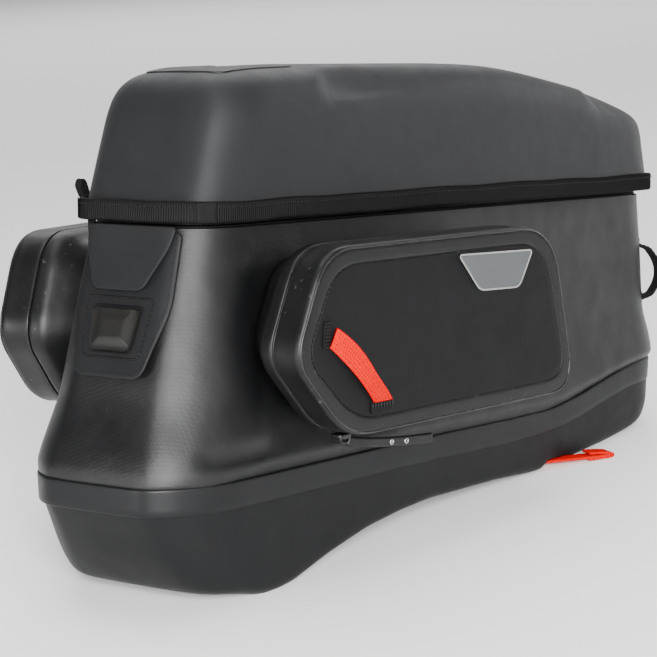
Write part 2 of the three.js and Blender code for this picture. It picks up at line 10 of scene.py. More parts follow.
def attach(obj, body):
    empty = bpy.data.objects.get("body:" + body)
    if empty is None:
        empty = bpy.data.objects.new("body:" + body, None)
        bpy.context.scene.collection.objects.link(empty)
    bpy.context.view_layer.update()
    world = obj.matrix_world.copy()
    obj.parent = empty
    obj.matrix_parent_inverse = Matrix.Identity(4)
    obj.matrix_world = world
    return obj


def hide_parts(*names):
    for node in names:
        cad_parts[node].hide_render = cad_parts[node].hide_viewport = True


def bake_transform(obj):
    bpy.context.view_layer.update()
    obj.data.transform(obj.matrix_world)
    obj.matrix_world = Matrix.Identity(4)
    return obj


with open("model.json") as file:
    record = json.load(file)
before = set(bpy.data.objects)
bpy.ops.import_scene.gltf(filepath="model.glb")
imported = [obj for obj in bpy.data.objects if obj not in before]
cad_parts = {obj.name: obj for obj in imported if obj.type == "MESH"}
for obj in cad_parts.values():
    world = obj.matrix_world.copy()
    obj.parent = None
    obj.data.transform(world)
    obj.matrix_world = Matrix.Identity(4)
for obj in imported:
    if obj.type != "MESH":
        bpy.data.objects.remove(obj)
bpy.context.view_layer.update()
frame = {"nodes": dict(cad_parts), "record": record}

# ---- the bag's own frame: X forward, Y left, Z up, z = 0 at the lid's lower edge, in units of 0.9 mm ----
UNIT = 0.0009
STANCE = radians(5.7)
CENTRE_X = 207.1
STAND_REAR = (30, -189)
WIDENING = 0.181  # how fast each side of the bag moves out towards the front
BODY_TOP, BODY_DEPTH = -3, 130
RING_X = 165  # the middle of the tank ring under the base
RING_POINTS = 480  # in each ring of points round the bag
PLAY = 0.35  # left between neighbouring pieces
UP = Vector((0, 0, 1))


def stand_z(x):
    return STAND_REAR[1] + tan(STANCE) * (x - STAND_REAR[0])


BAG = (Matrix.Scale(UNIT, 4) @ Matrix.Rotation(STANCE, 4, "Y")
       @ Matrix.Translation((-CENTRE_X, 0, -stand_z(CENTRE_X))))


# ---- camera ----
def make_camera():
    heading, pitch = radians(31.27), radians(7.37)
    ahead = Vector((cos(heading), sin(heading), 0))
    right = Vector((sin(heading), -cos(heading), 0))
    forward = ahead * cos(pitch) - Vector((0, 0, sin(pitch)))
    up = ahead * sin(pitch) + Vector((0, 0, cos(pitch)))
    turn = BAG.to_3x3().normalized()
    axes = Matrix([turn @ right, turn @ up, turn @ -forward]).transposed()
    data = bpy.data.cameras.new("camera")
    data.lens, data.sensor_width = 104, 36
    data.clip_start, data.clip_end = 0.02, 60
    cam = bpy.data.objects.new("camera", data)
    stand = Vector((-762.75, -571.5, 68.4))
    cam.matrix_world = Matrix.Translation(BAG @ stand) @ axes.to_4x4()
    bpy.context.scene.collection.objects.link(cam)
    bpy.context.scene.camera = cam


make_camera()


# ---- numbers and outlines ----
def lerp(a, b, t):
    return a + (b - a) * t


def between(a, b, t):
    return tuple(lerp(p, q, t) for p, q in zip(a, b))


def clamp(v, lo, hi):
    return max(lo, min(hi, v))


def smooth(x, a, b):
    t = clamp((x - a) / (b - a), 0, 1)
    return t * t * (3 - 2 * t)


def bump(x, a, b, c, d):
    return smooth(x, a, b) * (1 - smooth(x, c, d))


def spline(stations, x):
    """The height at x of a smooth curve through (x, height) stations."""
    n = len(stations)
    if x <= stations[0][0]:
        return stations[0][1]
    if x >= stations[-1][0]:
        return stations[-1][1]
    i = max(k for k in range(n - 1) if stations[k][0] <= x)
    slopes = []
    for k in (i, i + 1):
        a, b = max(k - 1, 0), min(k + 1, n - 1)
        slopes.append((stations[b][1] - stations[a][1]) / (stations[b][0] - stations[a][0]))
    (x0, z0), (x1, z1) = stations[i], stations[i + 1]
    h = x1 - x0
    t = (x - x0) / h
    return ((2 * t ** 3 - 3 * t * t + 1) * z0 + (t ** 3 - 2 * t * t + t) * h * slopes[0]
            + (3 * t * t - 2 * t ** 3) * z1 + (t ** 3 - t * t) * h * slopes[1])


def linear(stations, x):
    if x <= stations[0][0]:
        return stations[0][1]
    for (x0, z0), (x1, z1) in zip(stations, stations[1:]):
        if x <= x1:
            return lerp(z0, z1, (x - x0) / (x1 - x0))
    return stations[-1][1]


def spline_row(rows, s):
    """A table's row at s, with each number on a smooth curve down its own column."""
    return [spline([(r[0], r[k]) for r in rows], s) for k in range(1, len(rows[0]))]


def bezier(a, b, c, n):
    """n points of a curve from a, pulled towards b, to just before c."""
    out = []
    for i in range(n):
        t = i / n
        out.append(tuple((1 - t) ** 2 * a[k] + 2 * t * (1 - t) * b[k] + t * t * c[k] for k in (0, 1)))
    return out


def towards(a, b, reach):
    d = hypot(b[0] - a[0], b[1] - a[1])
    return (a[0] + (b[0] - a[0]) * reach / d, a[1] + (b[1] - a[1]) * reach / d)


def resampled(points, n, closed=True):
    """n points evenly spaced along a polyline."""
    pts = list(points) + ([points[0]] if closed else [])
    at = [0.0]
    for p, q in zip(pts, pts[1:]):
        at.append(at[-1] + dist(p, q))
    out, k = [], 0
    for i in range(n):
        s = at[-1] * i / (n if closed else n - 1)
        while k < len(at) - 2 and at[k + 1] < s:
            k += 1
        t = clamp((s - at[k]) / max(at[k + 1] - at[k], 1e-9), 0, 1)
        out.append(between(pts[k], pts[k + 1], t))
    return out


def angles(n):
    return [tau * i / n for i in range(n)]


def rounded(corners, per=10):
    """A closed outline with rounded corners, each [x, y, radius]."""
    path = []
    n = len(corners)
    for i, (x, y, r) in enumerate(corners):
        before, after = corners[i - 1][:2], corners[(i + 1) % n][:2]
        end = towards((x, y), after, r)
        path += bezier(towards((x, y), before, r), (x, y), end, per) + [end]
    return path


def outlined(corners, n, per=10):
    """n evenly spaced points on a rounded outline."""
    return resampled(rounded(corners, per), n)


def shield(left_half, n):
    """An outline that is the same left and right, from the corners of its left half."""
    return outlined(left_half + [[-a, b, r] for a, b, r in left_half[::-1]], n)


def box(a0, b0, a1, b1, r):
    """The corners of a rectangle, each rounded by r."""
    return [[a0, b0, r], [a1, b0, r], [a1, b1, r], [a0, b1, r]]


class Plan:
    """The bag's outline from above: sharp corners (x, half width) behind and in front, the bow of each end
    face and the reach of each corner's rounding. The rear one reaches share times as far along the side."""

    def __init__(self, rear, front, bow, round_, share=1.7):
        self.rear, self.front, self.bow, self.round, self.share = rear, front, bow, round_, share

    def grown(self, d):
        return Plan((self.rear[0] - d, self.rear[1] + d), (self.front[0] + d, self.front[1] + d),
                    self.bow, self.round, self.share)

    def mixed(self, other, t):
        return Plan(between(self.rear, other.rear, t), between(self.front, other.front, t),
                    between(self.bow, other.bow, t), between(self.round, other.round, t),
                    lerp(self.share, other.share, t))

    def half(self):
        k1, k2 = self.rear, self.front
        mid1, mid2 = (k1[0] - self.bow[0], 0), (k2[0] + self.bow[1], 0)
        pull1, pull2 = (mid1[0], k1[1] * 0.5), (mid2[0], k2[1] * 0.5)
        a, b = towards(k1, pull1, self.round[0]), towards(k1, k2, self.round[0] * self.share)
        c, d = towards(k2, k1, self.round[1]), towards(k2, pull2, self.round[1])
        side = ((b[0] + c[0]) / 2, (b[1] + c[1]) / 2)
        return (bezier(mid1, pull1, a, 16) + bezier(a, k1, b, 16) + bezier(b, side, c, 8)
                + bezier(c, k2, d, 20) + bezier(d, pull2, mid2, 16) + [mid2])

    def ring(self, n=RING_POINTS):
        half = resampled(self.half(), n // 2 + 1, closed=False)
        return half + [(x, -y) for x, y in reversed(half[1:-1])]


def drawn_in(ring, spine, t):
    """A ring drawn in towards a stretch of the bag's middle line, right onto it at t = 1."""
    return [(lerp(x, clamp(x, *spine), t), y * (1 - t)) for x, y in ring]


def side_width(x):
    return 42 + WIDENING * (x + 5)


LID_FRONT = 409
LID_PLAN = Plan((-5, 42), (LID_FRONT, side_width(LID_FRONT)), (3, 8), (13, 34))
TOP_PLAN = Plan((-1, 39), (404, 110), (3, 8), (17, 32))
LOW_PLAN = Plan((-33, 52), (408, 118), (11, 8), (25, 34))
CROWN = [[-10, 73], [20, 75.2], [90, 77], [180, 79.5], [250, 78.6], [310, 70.5], [360, 61], [395, 53],
         [412, 49]]
# share of the way up the lid: rise to the crown, inset of the sides, x of the rear
LID_ROWS = [(0, 0, 0, -5), (0.14, 0.13, 0.3, -1), (0.3, 0.45, 1.6, 8), (0.45, 0.74, 3.2, 17),
            (0.55, 0.87, 6.5, 23), (0.66, 0.95, 13, 31), (0.8, 0.99, 24, 43), (1, 1, 38, 62)]
REAR_FACE = [[-189, -20], [-174, -35.5], [-134, -48.5], [-119, -44.5], [-77, -31.6], [-38, -18.2], [0, -5.3]]
KEEL = [[12, -187.6], [22, stand_z(22)], [42, stand_z(42)], [55, -183.5], [70, -178.4], [104, -169.8],
        [135, -165.4], [160, -163.4], [225, -163.4], [262, -165], [272, stand_z(272)], [345, stand_z(345)],
        [365, -154.6], [392, -151], [412, -148]]
# share of the way down the base: rear corner, front corner, bow of each end, reach of each rounding
BASE_ROWS = [(0, -33, 52, 408, 118, 11, 8, 25, 34), (0.1, -31.2, 52.4, 408, 118.3, 11, 8, 25, 34),
             (0.3, -25.5, 53.2, 408, 118.4, 11, 8, 25, 34), (0.62, -15.5, 54.6, 407.5, 118, 11, 8, 24, 34),
             (0.86, -6.5, 55.6, 405, 117, 9, 7, 23, 36), (0.96, 0.5, 55.2, 401, 114, 8, 7, 22, 36),
             (1, 8, 53, 396, 110, 6, 6, 20, 38)]


def seam_z(x):
    """The height of the line where the body meets the base."""
    return -133 + 19 * smooth(x, 262, 392) - 1.5 * smooth(x, 120, 240)


def rear_x(z):
    return spline(REAR_FACE, z)


def ripple(x, y, scale, layer):
    return noise.noise(Vector((x * scale, y * scale, layer)))


# ---- building meshes ----
class Shape:
    """Points in the bag's frame, faces, and a texture place in the bag's units for each face corner."""

    def __init__(self):
        self.points, self.faces, self.uvs = [], [], []

    def grid(self, rows):
        """Quads between rows of points, with each row's end joined to its start."""
        n = len(rows[0])
        mid = rows[len(rows) // 2]
        u = [0.0]
        for i in range(n):
            u.append(u[-1] + (mid[(i + 1) % n] - mid[i]).length)
        picks = range(0, n, max(n // 8, 1))
        v = [0.0]
        for a, b in zip(rows, rows[1:]):
            v.append(v[-1] + sum((b[i] - a[i]).length for i in picks) / len(picks))
        for r in range(len(rows) - 1):
            low = len(self.points) + r * n
            for i in range(n):
                j = (i + 1) % n
                self.faces.append((low + i, low + j, low + n + j, low + n + i))
                self.uvs += [(u[i], v[r]), (u[i + 1], v[r]), (u[i + 1], v[r + 1]), (u[i], v[r + 1])]
        for row in rows:
            self.points += row
        return self

    def cap(self, row, flip=False):
        ring = range(len(self.points), len(self.points) + len(row))
        self.points += row
        self.faces.append(tuple(reversed(ring)) if flip else tuple(ring))
        self.uvs += [(0.0, 0.0)] * len(row)
        return self

    def build(self, name, slot, body, replaces=(), look=None, weld=1e-6, mirror=False, sharp=None):
        side = Matrix.Diagonal((1, -1, 1, 1)) if mirror else Matrix.Identity(4)
        mesh = bpy.data.meshes.new(name)
        mesh.from_pydata([BAG @ (side @ p) for p in self.points], [], self.faces)
        layer = mesh.uv_layers.new(name="UVMap")
        layer.data.foreach_set("uv", [c for uv in self.uvs for c in uv])
        obj = bpy.data.objects.new(name, mesh)
        bpy.context.scene.collection.objects.link(obj)
        tidy(mesh, weld)
        mesh.shade_smooth()
        if sharp is not None:
            mesh.set_sharp_from_angle(angle=radians(sharp))
        mesh.materials.append(LOOKS[look or slot])
        if body:
            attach(obj, body)
        if replaces:
            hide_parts(*replaces)
        return obj


def tidy(mesh, weld):
    bm = bmesh.new()
    bm.from_mesh(mesh)
    bmesh.ops.remove_doubles(bm, verts=bm.verts, dist=weld)
    bmesh.ops.dissolve_degenerate(bm, dist=1e-7, edges=bm.edges)
    bmesh.ops.recalc_face_normals(bm, faces=bm.faces)
    bm.to_mesh(mesh)
    bm.free()


def tangent(points, i, closed):
    n = len(points)
    a = points[(i - 1) % n] if closed else points[max(i - 1, 0)]
    b = points[(i + 1) % n] if closed else points[min(i + 1, n - 1)]
    return (b - a).normalized()


def outward(points, i):
    """The level direction out of the bag at a point of a closed ring round it."""
    out = tangent(points, i, True).cross(UP)
    away = Vector((points[i].x - 200, points[i].y * 2, 0))
    return -out if out.dot(away) < 0 else out


def stitches(shape, points, ups, pitch=3.0, length=2.2, radius=0.42, closed=True, lift=0.15):
    """A row of sewn stitches along points; ups is the outward direction, or a list of one for each point."""
    if isinstance(ups, Vector):
        ups = [ups] * len(points)
    sink = 0.3
    pairs = [tuple(p) + tuple(u) for p, u in zip(points, ups)]
    total = sum((b - a).length for a, b in zip(points, points[1:]))
    if closed:
        total += (points[0] - points[-1]).length
    count = max(int(total / pitch), 1)
    places = resampled(pairs, count * 8, closed)
    for k in range(count):
        i = k * 8
        j = min(i + max(round(8 * length / pitch), 1), len(places) - 1)
        a, b = Vector(places[i][:3]), Vector(places[j][:3])
        up = Vector(places[i][3:]).normalized()
        along = b - a
        across = along.cross(up).normalized()
        start = len(shape.points)
        shape.points.append(a - up * sink)
        for t, r, h in ((0.16, 0.8, 0.6), (0.5, 1.0, 1.0), (0.84, 0.8, 0.6)):
            c = a + along * t + up * lift * h
            for w in angles(6):
                shape.points.append(c + across * cos(w) * radius * r + up * sin(w) * radius * r)
        shape.points.append(b - up * sink)
        end = start + 19
        for s in range(6):
            q = (s + 1) % 6
            shape.faces.append((start, start + 1 + q, start + 1 + s))
            shape.faces.append((end, start + 13 + s, start + 13 + q))
            shape.uvs += [(0, 0)] * 6
            for low in (start + 1, start + 7):
                shape.faces.append((low + s, low + q, low + 6 + q, low + 6 + s))
                shape.uvs += [(0, 0)] * 4
    return shape


def plate(shape, outline, place, thick, bevel=0.4, dome=0.0, rings=8, relief=None):
    """A sheet piece with rounded edges: outline is 2-D, place(a, b, h) is its point at height h, and
    relief(a, b) is added to the height of its outer face."""
    n = len(outline)
    ca = sum(p[0] for p in outline) / n
    cb = sum(p[1] for p in outline) / n
    area = sum(p[0] * q[1] - q[0] * p[1] for p, q in zip(outline, outline[1:] + outline[:1]))
    turn = 1 if area > 0 else -1
    normals = []
    for i in range(n):
        p, q = outline[i - 1], outline[(i + 1) % n]
        d = hypot(q[0] - p[0], q[1] - p[1]) or 1
        normals.append((turn * (q[1] - p[1]) / d, -turn * (q[0] - p[0]) / d))

    def ring(inset, h):
        return [place(a - na * inset, b - nb * inset, h) for (a, b), (na, nb) in zip(outline, normals)]

    def inner(s, h):
        out = []
        for (a, b), (na, nb) in zip(outline, normals):
            pa, pb = ca + (a - na * bevel - ca) * s, cb + (b - nb * bevel - cb) * s
            raised = relief(pa, pb) if relief and h else 0
            out.append(place(pa, pb, h + dome * (1 - s * s) + raised))
        return out

    rows = [inner(k / rings, 0) for k in range(rings + 1)]
    rows += [ring(bevel * 0.3, 0), ring(0, bevel * 0.7), ring(0, thick - bevel)]
    rows += [ring(bevel * 0.29, thick - bevel * 0.29)]
    rows += [inner(1 - k / rings, thick) for k in range(rings + 1)]
    start = len(shape.points)
    shape.grid(rows)
    uv = []
    for face in shape.faces[-(len(rows) - 1) * n:]:
        for i in face:
            r, k = divmod(i - start, n)
            s = min(r / rings, 1, 1 - (r - rings - 4) / rings)
            uv.append((ca + (outline[k][0] - ca) * s, cb + (outline[k][1] - cb) * s))
    shape.uvs[-len(uv):] = uv
    return shape


def sweep(shape, path, across, section, caps=True):
    """A closed section of (across, out) points along a path; across is the direction of its width."""
    rows = []
    for i, p in enumerate(path):
        t = tangent(path, i, False)
        w = (across - t * across.dot(t)).normalized()
        out = w.cross(t)
        rows.append([p + w * a + out * h for a, h in section(i / (len(path) - 1))])
    shape.grid(rows)
    if caps:
        shape.cap(rows[0], True).cap(rows[-1])
    return shape


def bead(ring, across, wide, out, n=8, shape=None):
    """A thin closed bead along a ring of points."""
    return sweep(shape or Shape(), ring + ring[:1], across, oval(wide, out, n), caps=False)


def webbing(width, thick, ribs=0, depth=0.25):
    """The section of a webbing strip with rounded edges and lengthwise ribs."""
    half = width / 2
    n = max(ribs * 6, 10)
    top = []
    for i in range(n + 1):
        a = -half + width * i / n
        edge = 1 - clamp((abs(a) - half + thick * 0.6) / (thick * 0.6), 0, 1) ** 2
        wave = depth * (abs(sin(pi * ribs * i / n)) - 0.6) if ribs else 0
        top.append((a, thick / 2 * sqrt(max(edge, 0)) + wave * edge))
    low = [(a, -h) for a, h in reversed(top[1:-1])]
    section = top + low
    return lambda t: section


def oval(across, out, n=8):
    section = [(cos(w) * across, sin(w) * out) for w in angles(n)]
    return lambda t: section


def smooth_path(points, n):
    """n points on a smooth curve through 3-D points."""
    columns = [list(enumerate(column)) for column in zip(*[Vector(p) for p in points])]
    out = []
    for i in range(n):
        s = (len(points) - 1) * i / (n - 1)
        out.append(tuple(Vector([spline(column, s) for column in columns])))
    return [Vector(p) for p in resampled(out, n, False)]


# ---- materials ----
class Nodes:
    """Short names for making a material's nodes."""

    def __init__(self, name):
        self.mat = bpy.data.materials.new(name)
        self.mat.use_nodes = True
        self.tree = self.mat.node_tree
        self.shader = self.tree.nodes["Principled BSDF"]

    def add(self, kind, **inputs):
        """A new node. Its inputs are given by name, or by number as _0, _1 and so on."""
        node = self.tree.nodes.new(kind)
        for key, value in inputs.items():
            if key in ("operation", "data_type", "blend_type"):
                setattr(node, key, value)
                continue
            socket = node.inputs[int(key[1:]) if key[0] == "_" else key.replace("_", " ")]
            if hasattr(value, "is_linked"):
                self.tree.links.new(value, socket)
            else:
                socket.default_value = value
        return node

    def math(self, operation, a, b=0.0, clamped=False):
        node = self.add("ShaderNodeMath", operation=operation, _0=a, _1=b)
        node.use_clamp = clamped
        return node.outputs[0]

    def mix(self, first, second, factor, blend="MIX"):
        node = self.add("ShaderNodeMix", data_type="RGBA", blend_type=blend, Factor=factor,
                        _6=first, _7=second)
        return node.outputs[2]

    def noise(self, scale, detail=3.0, rough=0.5):
        place = self.add("ShaderNodeTexCoord").outputs["Object"]
        node = self.add("ShaderNodeTexNoise", Vector=place, Scale=scale, Detail=detail, Roughness=rough)
        return node.outputs["Fac"]

    def uv(self):
        split = self.add("ShaderNodeSeparateXYZ", Vector=self.add("ShaderNodeTexCoord").outputs["UV"])
        return split.outputs["X"], split.outputs["Y"]

    def wave(self, value, pitch):
        return self.math("SINE", self.math("MULTIPLY", value, tau / pitch))

    def ramp(self, value, low, high):
        """A noise value stretched from low to high."""
        node = self.add("ShaderNodeMapRange", Value=value, From_Min=0.3, From_Max=0.7,
                        To_Min=low, To_Max=high)
        return node.outputs["Result"]

    def bumped(self, height, distance, before=None):
        node = self.add("ShaderNodeBump", Height=height, Distance=distance, Strength=1.0)
        if before:
            self.tree.links.new(before, node.inputs["Normal"])
        return node.outputs["Normal"]


def pattern(n, kind, pitch):
    """The height of a fine surface pattern: a weave, twill, ribs or slanting rows."""
    u, v = n.uv()
    if kind == "weave":
        return n.math("MULTIPLY", n.wave(u, pitch), n.wave(v, pitch))
    if kind == "twill":
        a = n.wave(n.math("ADD", u, v), pitch)
        b = n.wave(n.math("SUBTRACT", u, v), pitch)
        return n.math("ADD", n.math("MULTIPLY", a, b), n.math("MULTIPLY", a, 0.5))
    if kind == "ribs":
        fine = n.math("MULTIPLY", n.wave(v, pitch * 0.8), 0.45)
        return n.math("ADD", n.wave(u, pitch), fine)
    row = n.math("ABSOLUTE", n.wave(u, pitch * 2))
    slant = n.math("ADD", v, n.math("MULTIPLY", row, pitch * 0.5))
    return n.math("MULTIPLY", row, n.wave(slant, pitch))


LOOKS = {}


def surface(name, colour, rough, kind=None, pitch=1.0, depth=0.05, tint=0.12, grain=0.02, grain_scale=2500.0,
            metallic=0.0, specular=0.5, sheen=0.0, dust=0.0):
    """A material: colour varied by soft blotches and lightened by specks of dust, with its pattern, whose
    hollows are darkened by painted shade.
    """
    n = Nodes(name)
    s = n.shader.inputs
    s["Metallic"].default_value = metallic
    s["Specular IOR Level"].default_value = specular
    if sheen:
        s["Sheen Weight"].default_value = sheen
        s["Sheen Roughness"].default_value = 0.5
        s["Sheen Tint"].default_value = (0.75, 0.8, 0.85, 1)
    dark = tuple(c * (1 - tint) for c in colour) + (1,)
    light = tuple(min(c * (1 + tint), 1) for c in colour) + (1,)
    blotch = n.math("MULTIPLY", n.noise(28.0, 4.0), 0.6)
    fleck = n.math("MULTIPLY", n.noise(grain_scale * 0.35, 2.0), 0.4)
    shade = n.mix(dark, light, n.ramp(n.math("ADD", blotch, fleck), 0.0, 1.0))
    if kind:
        height = pattern(n, kind, pitch)
        # painted shade: the colour is darkened in the pattern's hollows
        hollow_shade = n.math("MULTIPLY", n.math("SUBTRACT", 0.35, height), 0.6, True)
        shade = n.mix(shade, (0.62, 0.62, 0.62, 1), hollow_shade, "MULTIPLY")
    if dust:
        spots = n.math("GREATER_THAN", n.noise(420.0, 2.0), 0.71)
        shade = n.mix(shade, (0.3, 0.3, 0.3, 1), n.math("MULTIPLY", spots, dust))
    n.tree.links.new(shade, s["Base Color"])
    n.tree.links.new(n.ramp(n.noise(60.0, 5.0, 0.6), rough - 0.06, rough + 0.06), s["Roughness"])
    normal = n.bumped(n.noise(grain_scale), grain * 0.001)
    normal = n.bumped(n.noise(90.0, 2.0), 0.0002, normal)
    if kind:
        normal = n.bumped(height, depth * 0.001, normal)
    n.tree.links.new(normal, s["Normal"])
    LOOKS[name] = n.mat


surface("lid_fabric", (0.0098, 0.0102, 0.011), 0.46, "weave", 1.05, 0.045, sheen=0.01, specular=0.2)
surface("flap_fabric", (0.0085, 0.0088, 0.0094), 0.6, "weave", 1.0, 0.01, specular=0.14)
surface("net", (0.012, 0.012, 0.0125), 0.85, "weave", 2.2, 0.4)
surface("webbing", (0.005, 0.005, 0.0053), 0.8, "ribs", 0.9, 0.12, specular=0.1)
surface("binding", (0.0028, 0.0028, 0.0029), 0.6, "weave", 1.3, 0.01, specular=0.09)
surface("tape", (0.003, 0.003, 0.0032), 0.6, "weave", 1.2, 0.05, specular=0.12)
surface("tarpaulin", (0.0026, 0.0027, 0.003), 0.38, "twill", 1.2, 0.03, specular=0.36, dust=0.02)
surface("gusset", (0.004, 0.0041, 0.0043), 0.42, "weave", 0.9, 0.005, specular=0.24, dust=0.08)
surface("piping", (0.007, 0.0072, 0.0075), 0.26, specular=0.4)
surface("panel_fabric", (0.0045, 0.0046, 0.005), 0.6, "weave", 0.9, 0.012, specular=0.12, dust=0.02)
surface("band_plastic", (0.005, 0.0052, 0.0056), 0.42, grain=0.01, specular=0.18)
surface("base_plastic", (0.0042, 0.0044, 0.0047), 0.5, grain=0.03, grain_scale=1600.0, specular=0.15)
surface("hardware_plastic", (0.004, 0.004, 0.0042), 0.36, grain=0.015, specular=0.35)
surface("patch_rubber", (0.006, 0.0062, 0.0068), 0.54, grain=0.02, specular=0.15)
surface("badge_rubber", (0.0075, 0.0073, 0.0069), 0.42, grain=0.012, specular=0.26)
surface("pad_rubber", (0.006, 0.006, 0.0062), 0.46, grain=0.03, specular=0.25)
surface("red_webbing", (0.55, 0.0, 0.0), 0.85, "rows", 1.7, 0.2, tint=0.03, specular=0.01)
surface("reflector", (0.062, 0.067, 0.07), 0.42, "weave", 0.7, 0.02, tint=0.08, specular=0.25)
surface("reflector_edge", (0.2, 0.2, 0.19), 0.4, specular=0.3)
surface("thread", (0.004, 0.004, 0.0042), 0.5, specular=0.2)
surface("speck", (0.016, 0.0165, 0.017), 0.4, dust=0.5, specular=0.25)
surface("steel", (0.4, 0.41, 0.42), 0.33, metallic=1.0, tint=0.04)


# ---- lid ----
def crown(x):
    return spline(CROWN, x)


def lid_plan(s, d=0.0):
    """The lid's outline at a share s of the way up, grown by d."""
    rise, inset, rear = spline_row(LID_ROWS, s)
    return Plan((rear - d, max(side_width(rear) - inset + d, 8)),
                (LID_FRONT - inset * 0.9 + d, side_width(LID_FRONT) - inset + d),
                between((3, 8), (5, 6), rise), between((13, 34), (15, 40), rise), lerp(1.7, 2.1, rise))


def in_pad(x, y, margin=0.0):
    """How deep a point lies in the pad's recess: 0 outside, 1 inside."""
    half = lerp(25, 31, clamp((x - 33) / 63, 0, 1)) + margin
    along = min(smooth(x, 32 - margin, 34 - margin), 1 - smooth(x, 95 + margin, 97 + margin))
    return along * (1 - smooth(abs(y), half - 1, half + 1.5))


def scoops(x, y):
    """How far the two finger scoops in each shoulder sink the lid's top."""
    q = side_width(x) - abs(y)
    behind = x - 75 - q
    reach = lerp(24, 12, clamp((x - 100) / 110, 0, 1))
    rear = (8.0 * smooth(behind, 0, 15) * (1 - smooth(x, 112, 215)) * smooth(q, -4, 8)
            * (1 - smooth(q, reach - 12, reach + 4)))
    behind = x - 318 - q * 0.9
    front = 6.5 * smooth(behind, 0, 18) * (1 - smooth(x, 356, 398)) * bump(q, -6, 8, 10, 26)
    return rear + front


def lid_point(x, y, s, drop):
    """A point of the lid at a share s of the way up, a distance drop under the crown."""
    z = PLAY + spline_row(LID_ROWS, s)[0] * (crown(x) - drop - PLAY)
    top = smooth(s, 0.36, 0.62)
    z -= scoops(x, y) * top
    z -= 0.8 * in_pad(x, y, 1.5) * smooth(s, 0.9, 1.0)
    swell = 0.9 * sin(pi * clamp(s / 0.5, 0, 1)) * bump(x, 10, 60, 330, 390)
    y += copysign(swell, y) if s < 0.5 and abs(y) > 20 else 0
    return Vector((x, y, z))


def lid_rows(d, drop):
    """Rings up the lid's side, then over its top to the middle line."""
    rows = []
    for k in range(55):
        s = k / 54
        rows.append([lid_point(x, y, s, drop) for x, y in lid_plan(s, d).ring()])
    for k in range(1, 25):
        ring = drawn_in(lid_plan(1, d).ring(), (92, LID_FRONT - 60), k / 24)
        rows.append([lid_point(x, y, 1, drop) for x, y in ring])
    return rows


def make_lid():
    shape = Shape().grid(lid_rows(-1.2, 0)[::-1] + lid_rows(-5.2, 4))
    shape.build("lid", "lid_fabric", "lid", ["lid_shell"], weld=2e-5)


def make_binding():
    n = 3200
    pts = [Vector((x, y, 0)) for x, y in LID_PLAN.ring(n)]
    outs = [outward(pts, i) for i in range(n)]
    profile = [(-1.0, 0.4), (0.2, 0.0), (0.95, 0.5), (1.15, 1.6), (1.05, 4.5), (0.75, 7.0), (0.95, 8.2),
               (0.8, 10.0), (0.2, 10.6), (-0.9, 10.8), (-1.2, 9.5)]
    rows = []
    for k, (d, z) in enumerate(profile):
        rib = 0.26 if 1 < k < 10 else 0.12
        row = []
        for i, p in enumerate(pts):
            rise = z + 1.1 * ripple(p.x, p.y, 0.022, 4) * (1 if z > 2 else 0.8)
            bulge = 0.7 * ripple(p.x, p.y, 0.03, 9 + z * 0.05)
            wave = (0, 1, 0, -1)[i % 4] * rib
            lean = tangent(pts, i, True) * 0.9 * sin(z * 0.42) * ripple(p.x, p.y, 0.05, 2)
            row.append(p + lean + outs[i] * (d + wave + bulge) + UP * rise)
        rows.append(row)
    Shape().grid(rows).build("lid_binding_tape", "webbing", "lid", ["lid_binding"], look="binding")
    seam = stitches(Shape(), [p + o * 0.3 for p, o in zip(rows[6], outs)][::8], outs[::8], 2.9, 1.9, 0.36)
    seam.build("lid_binding_stitches", "webbing", "lid", look="thread")
    join = Shape()
    for side in (1, -1):
        k = min(range(n), key=lambda i: abs(pts[i].x + 1.0) + (0 if pts[i].y * side > 20 else 99))
        base, out, along = pts[k], outs[k], tangent(pts, k, True)
        plate(join, rounded(box(-5, 0.5, 5, 10.6, 1), 4),
              lambda a, b, h: base + along * a + out * (1.0 + h) + UP * b, 0.5, 0.2, rings=3)
    join.build("lid_binding_join", "webbing", "lid", look="binding")


def make_lid_pad():
    outline = outlined([[33, 25, 8], [96, 31, 10], [96, -31, 10], [33, -25, 8]], 120)
    halves = [(k / 40, lid_plan(k / 40, -1.2).half()) for k in range(12, 41)]

    def height(a, b):
        """A little above the lid's top under a point, found between the two rows that pass it."""
        before = None
        for s, half in halves:
            gap = abs(b) - (linear(half, a) if a > half[0][0] else -9.0)
            if gap > 0:
                if before:
                    s = lerp(before[0], s, before[1] / (before[1] - gap))
                return 1.1 + spline_row(LID_ROWS, s)[0] * (crown(a) - PLAY)
            before = (s, gap)
        return crown(a)

    def place(a, b, h):
        return Vector((a, b, height(a, b) - 1.5 + h))

    def grip(a, b):
        return 0.22 * in_pad(a, b, -5) * (sin(a * 1.3) ** 2)
    shape = plate(Shape(), outline, place, 1.5, 0.5, rings=40, relief=grip)
    shape.build("lid_pad", "pad_rubber", "lid", ["lid_top_pad"])


def make_net():
    plan = Plan((55, side_width(55) - 30), (LID_FRONT - 26, side_width(LID_FRONT) - 30), (5, 6), (15, 37))
    ring = plan.ring(200)
    rows = [[Vector((x, y, crown(x) - 8.8)) for x, y in drawn_in(ring, (75, 330), k / 16)] for k in range(17)]
    back = [[p + UP * 0.6 for p in row] for row in rows]
    net = Shape().grid(rows[::-1] + back).build("lid_net", "net", "lid", ["lid_mesh_pocket"], weld=2e-5)
    hem = bead([Vector((x, y, crown(x) - 8.7)) for x, y in ring], UP, 1.5, 0.8, 12)
    hem = hem.build("lid_net_hem", "webbing", "lid")


# ---- body ----
def body_plan(t, d=0.0):
    return TOP_PLAN.mixed(LOW_PLAN, t).grown(d)


def depth(z):
    """How far down the body a height lies, from 0 at its top edge to 1."""
    return clamp((BODY_TOP - z) / BODY_DEPTH, 0, 1)


HALVES = {}


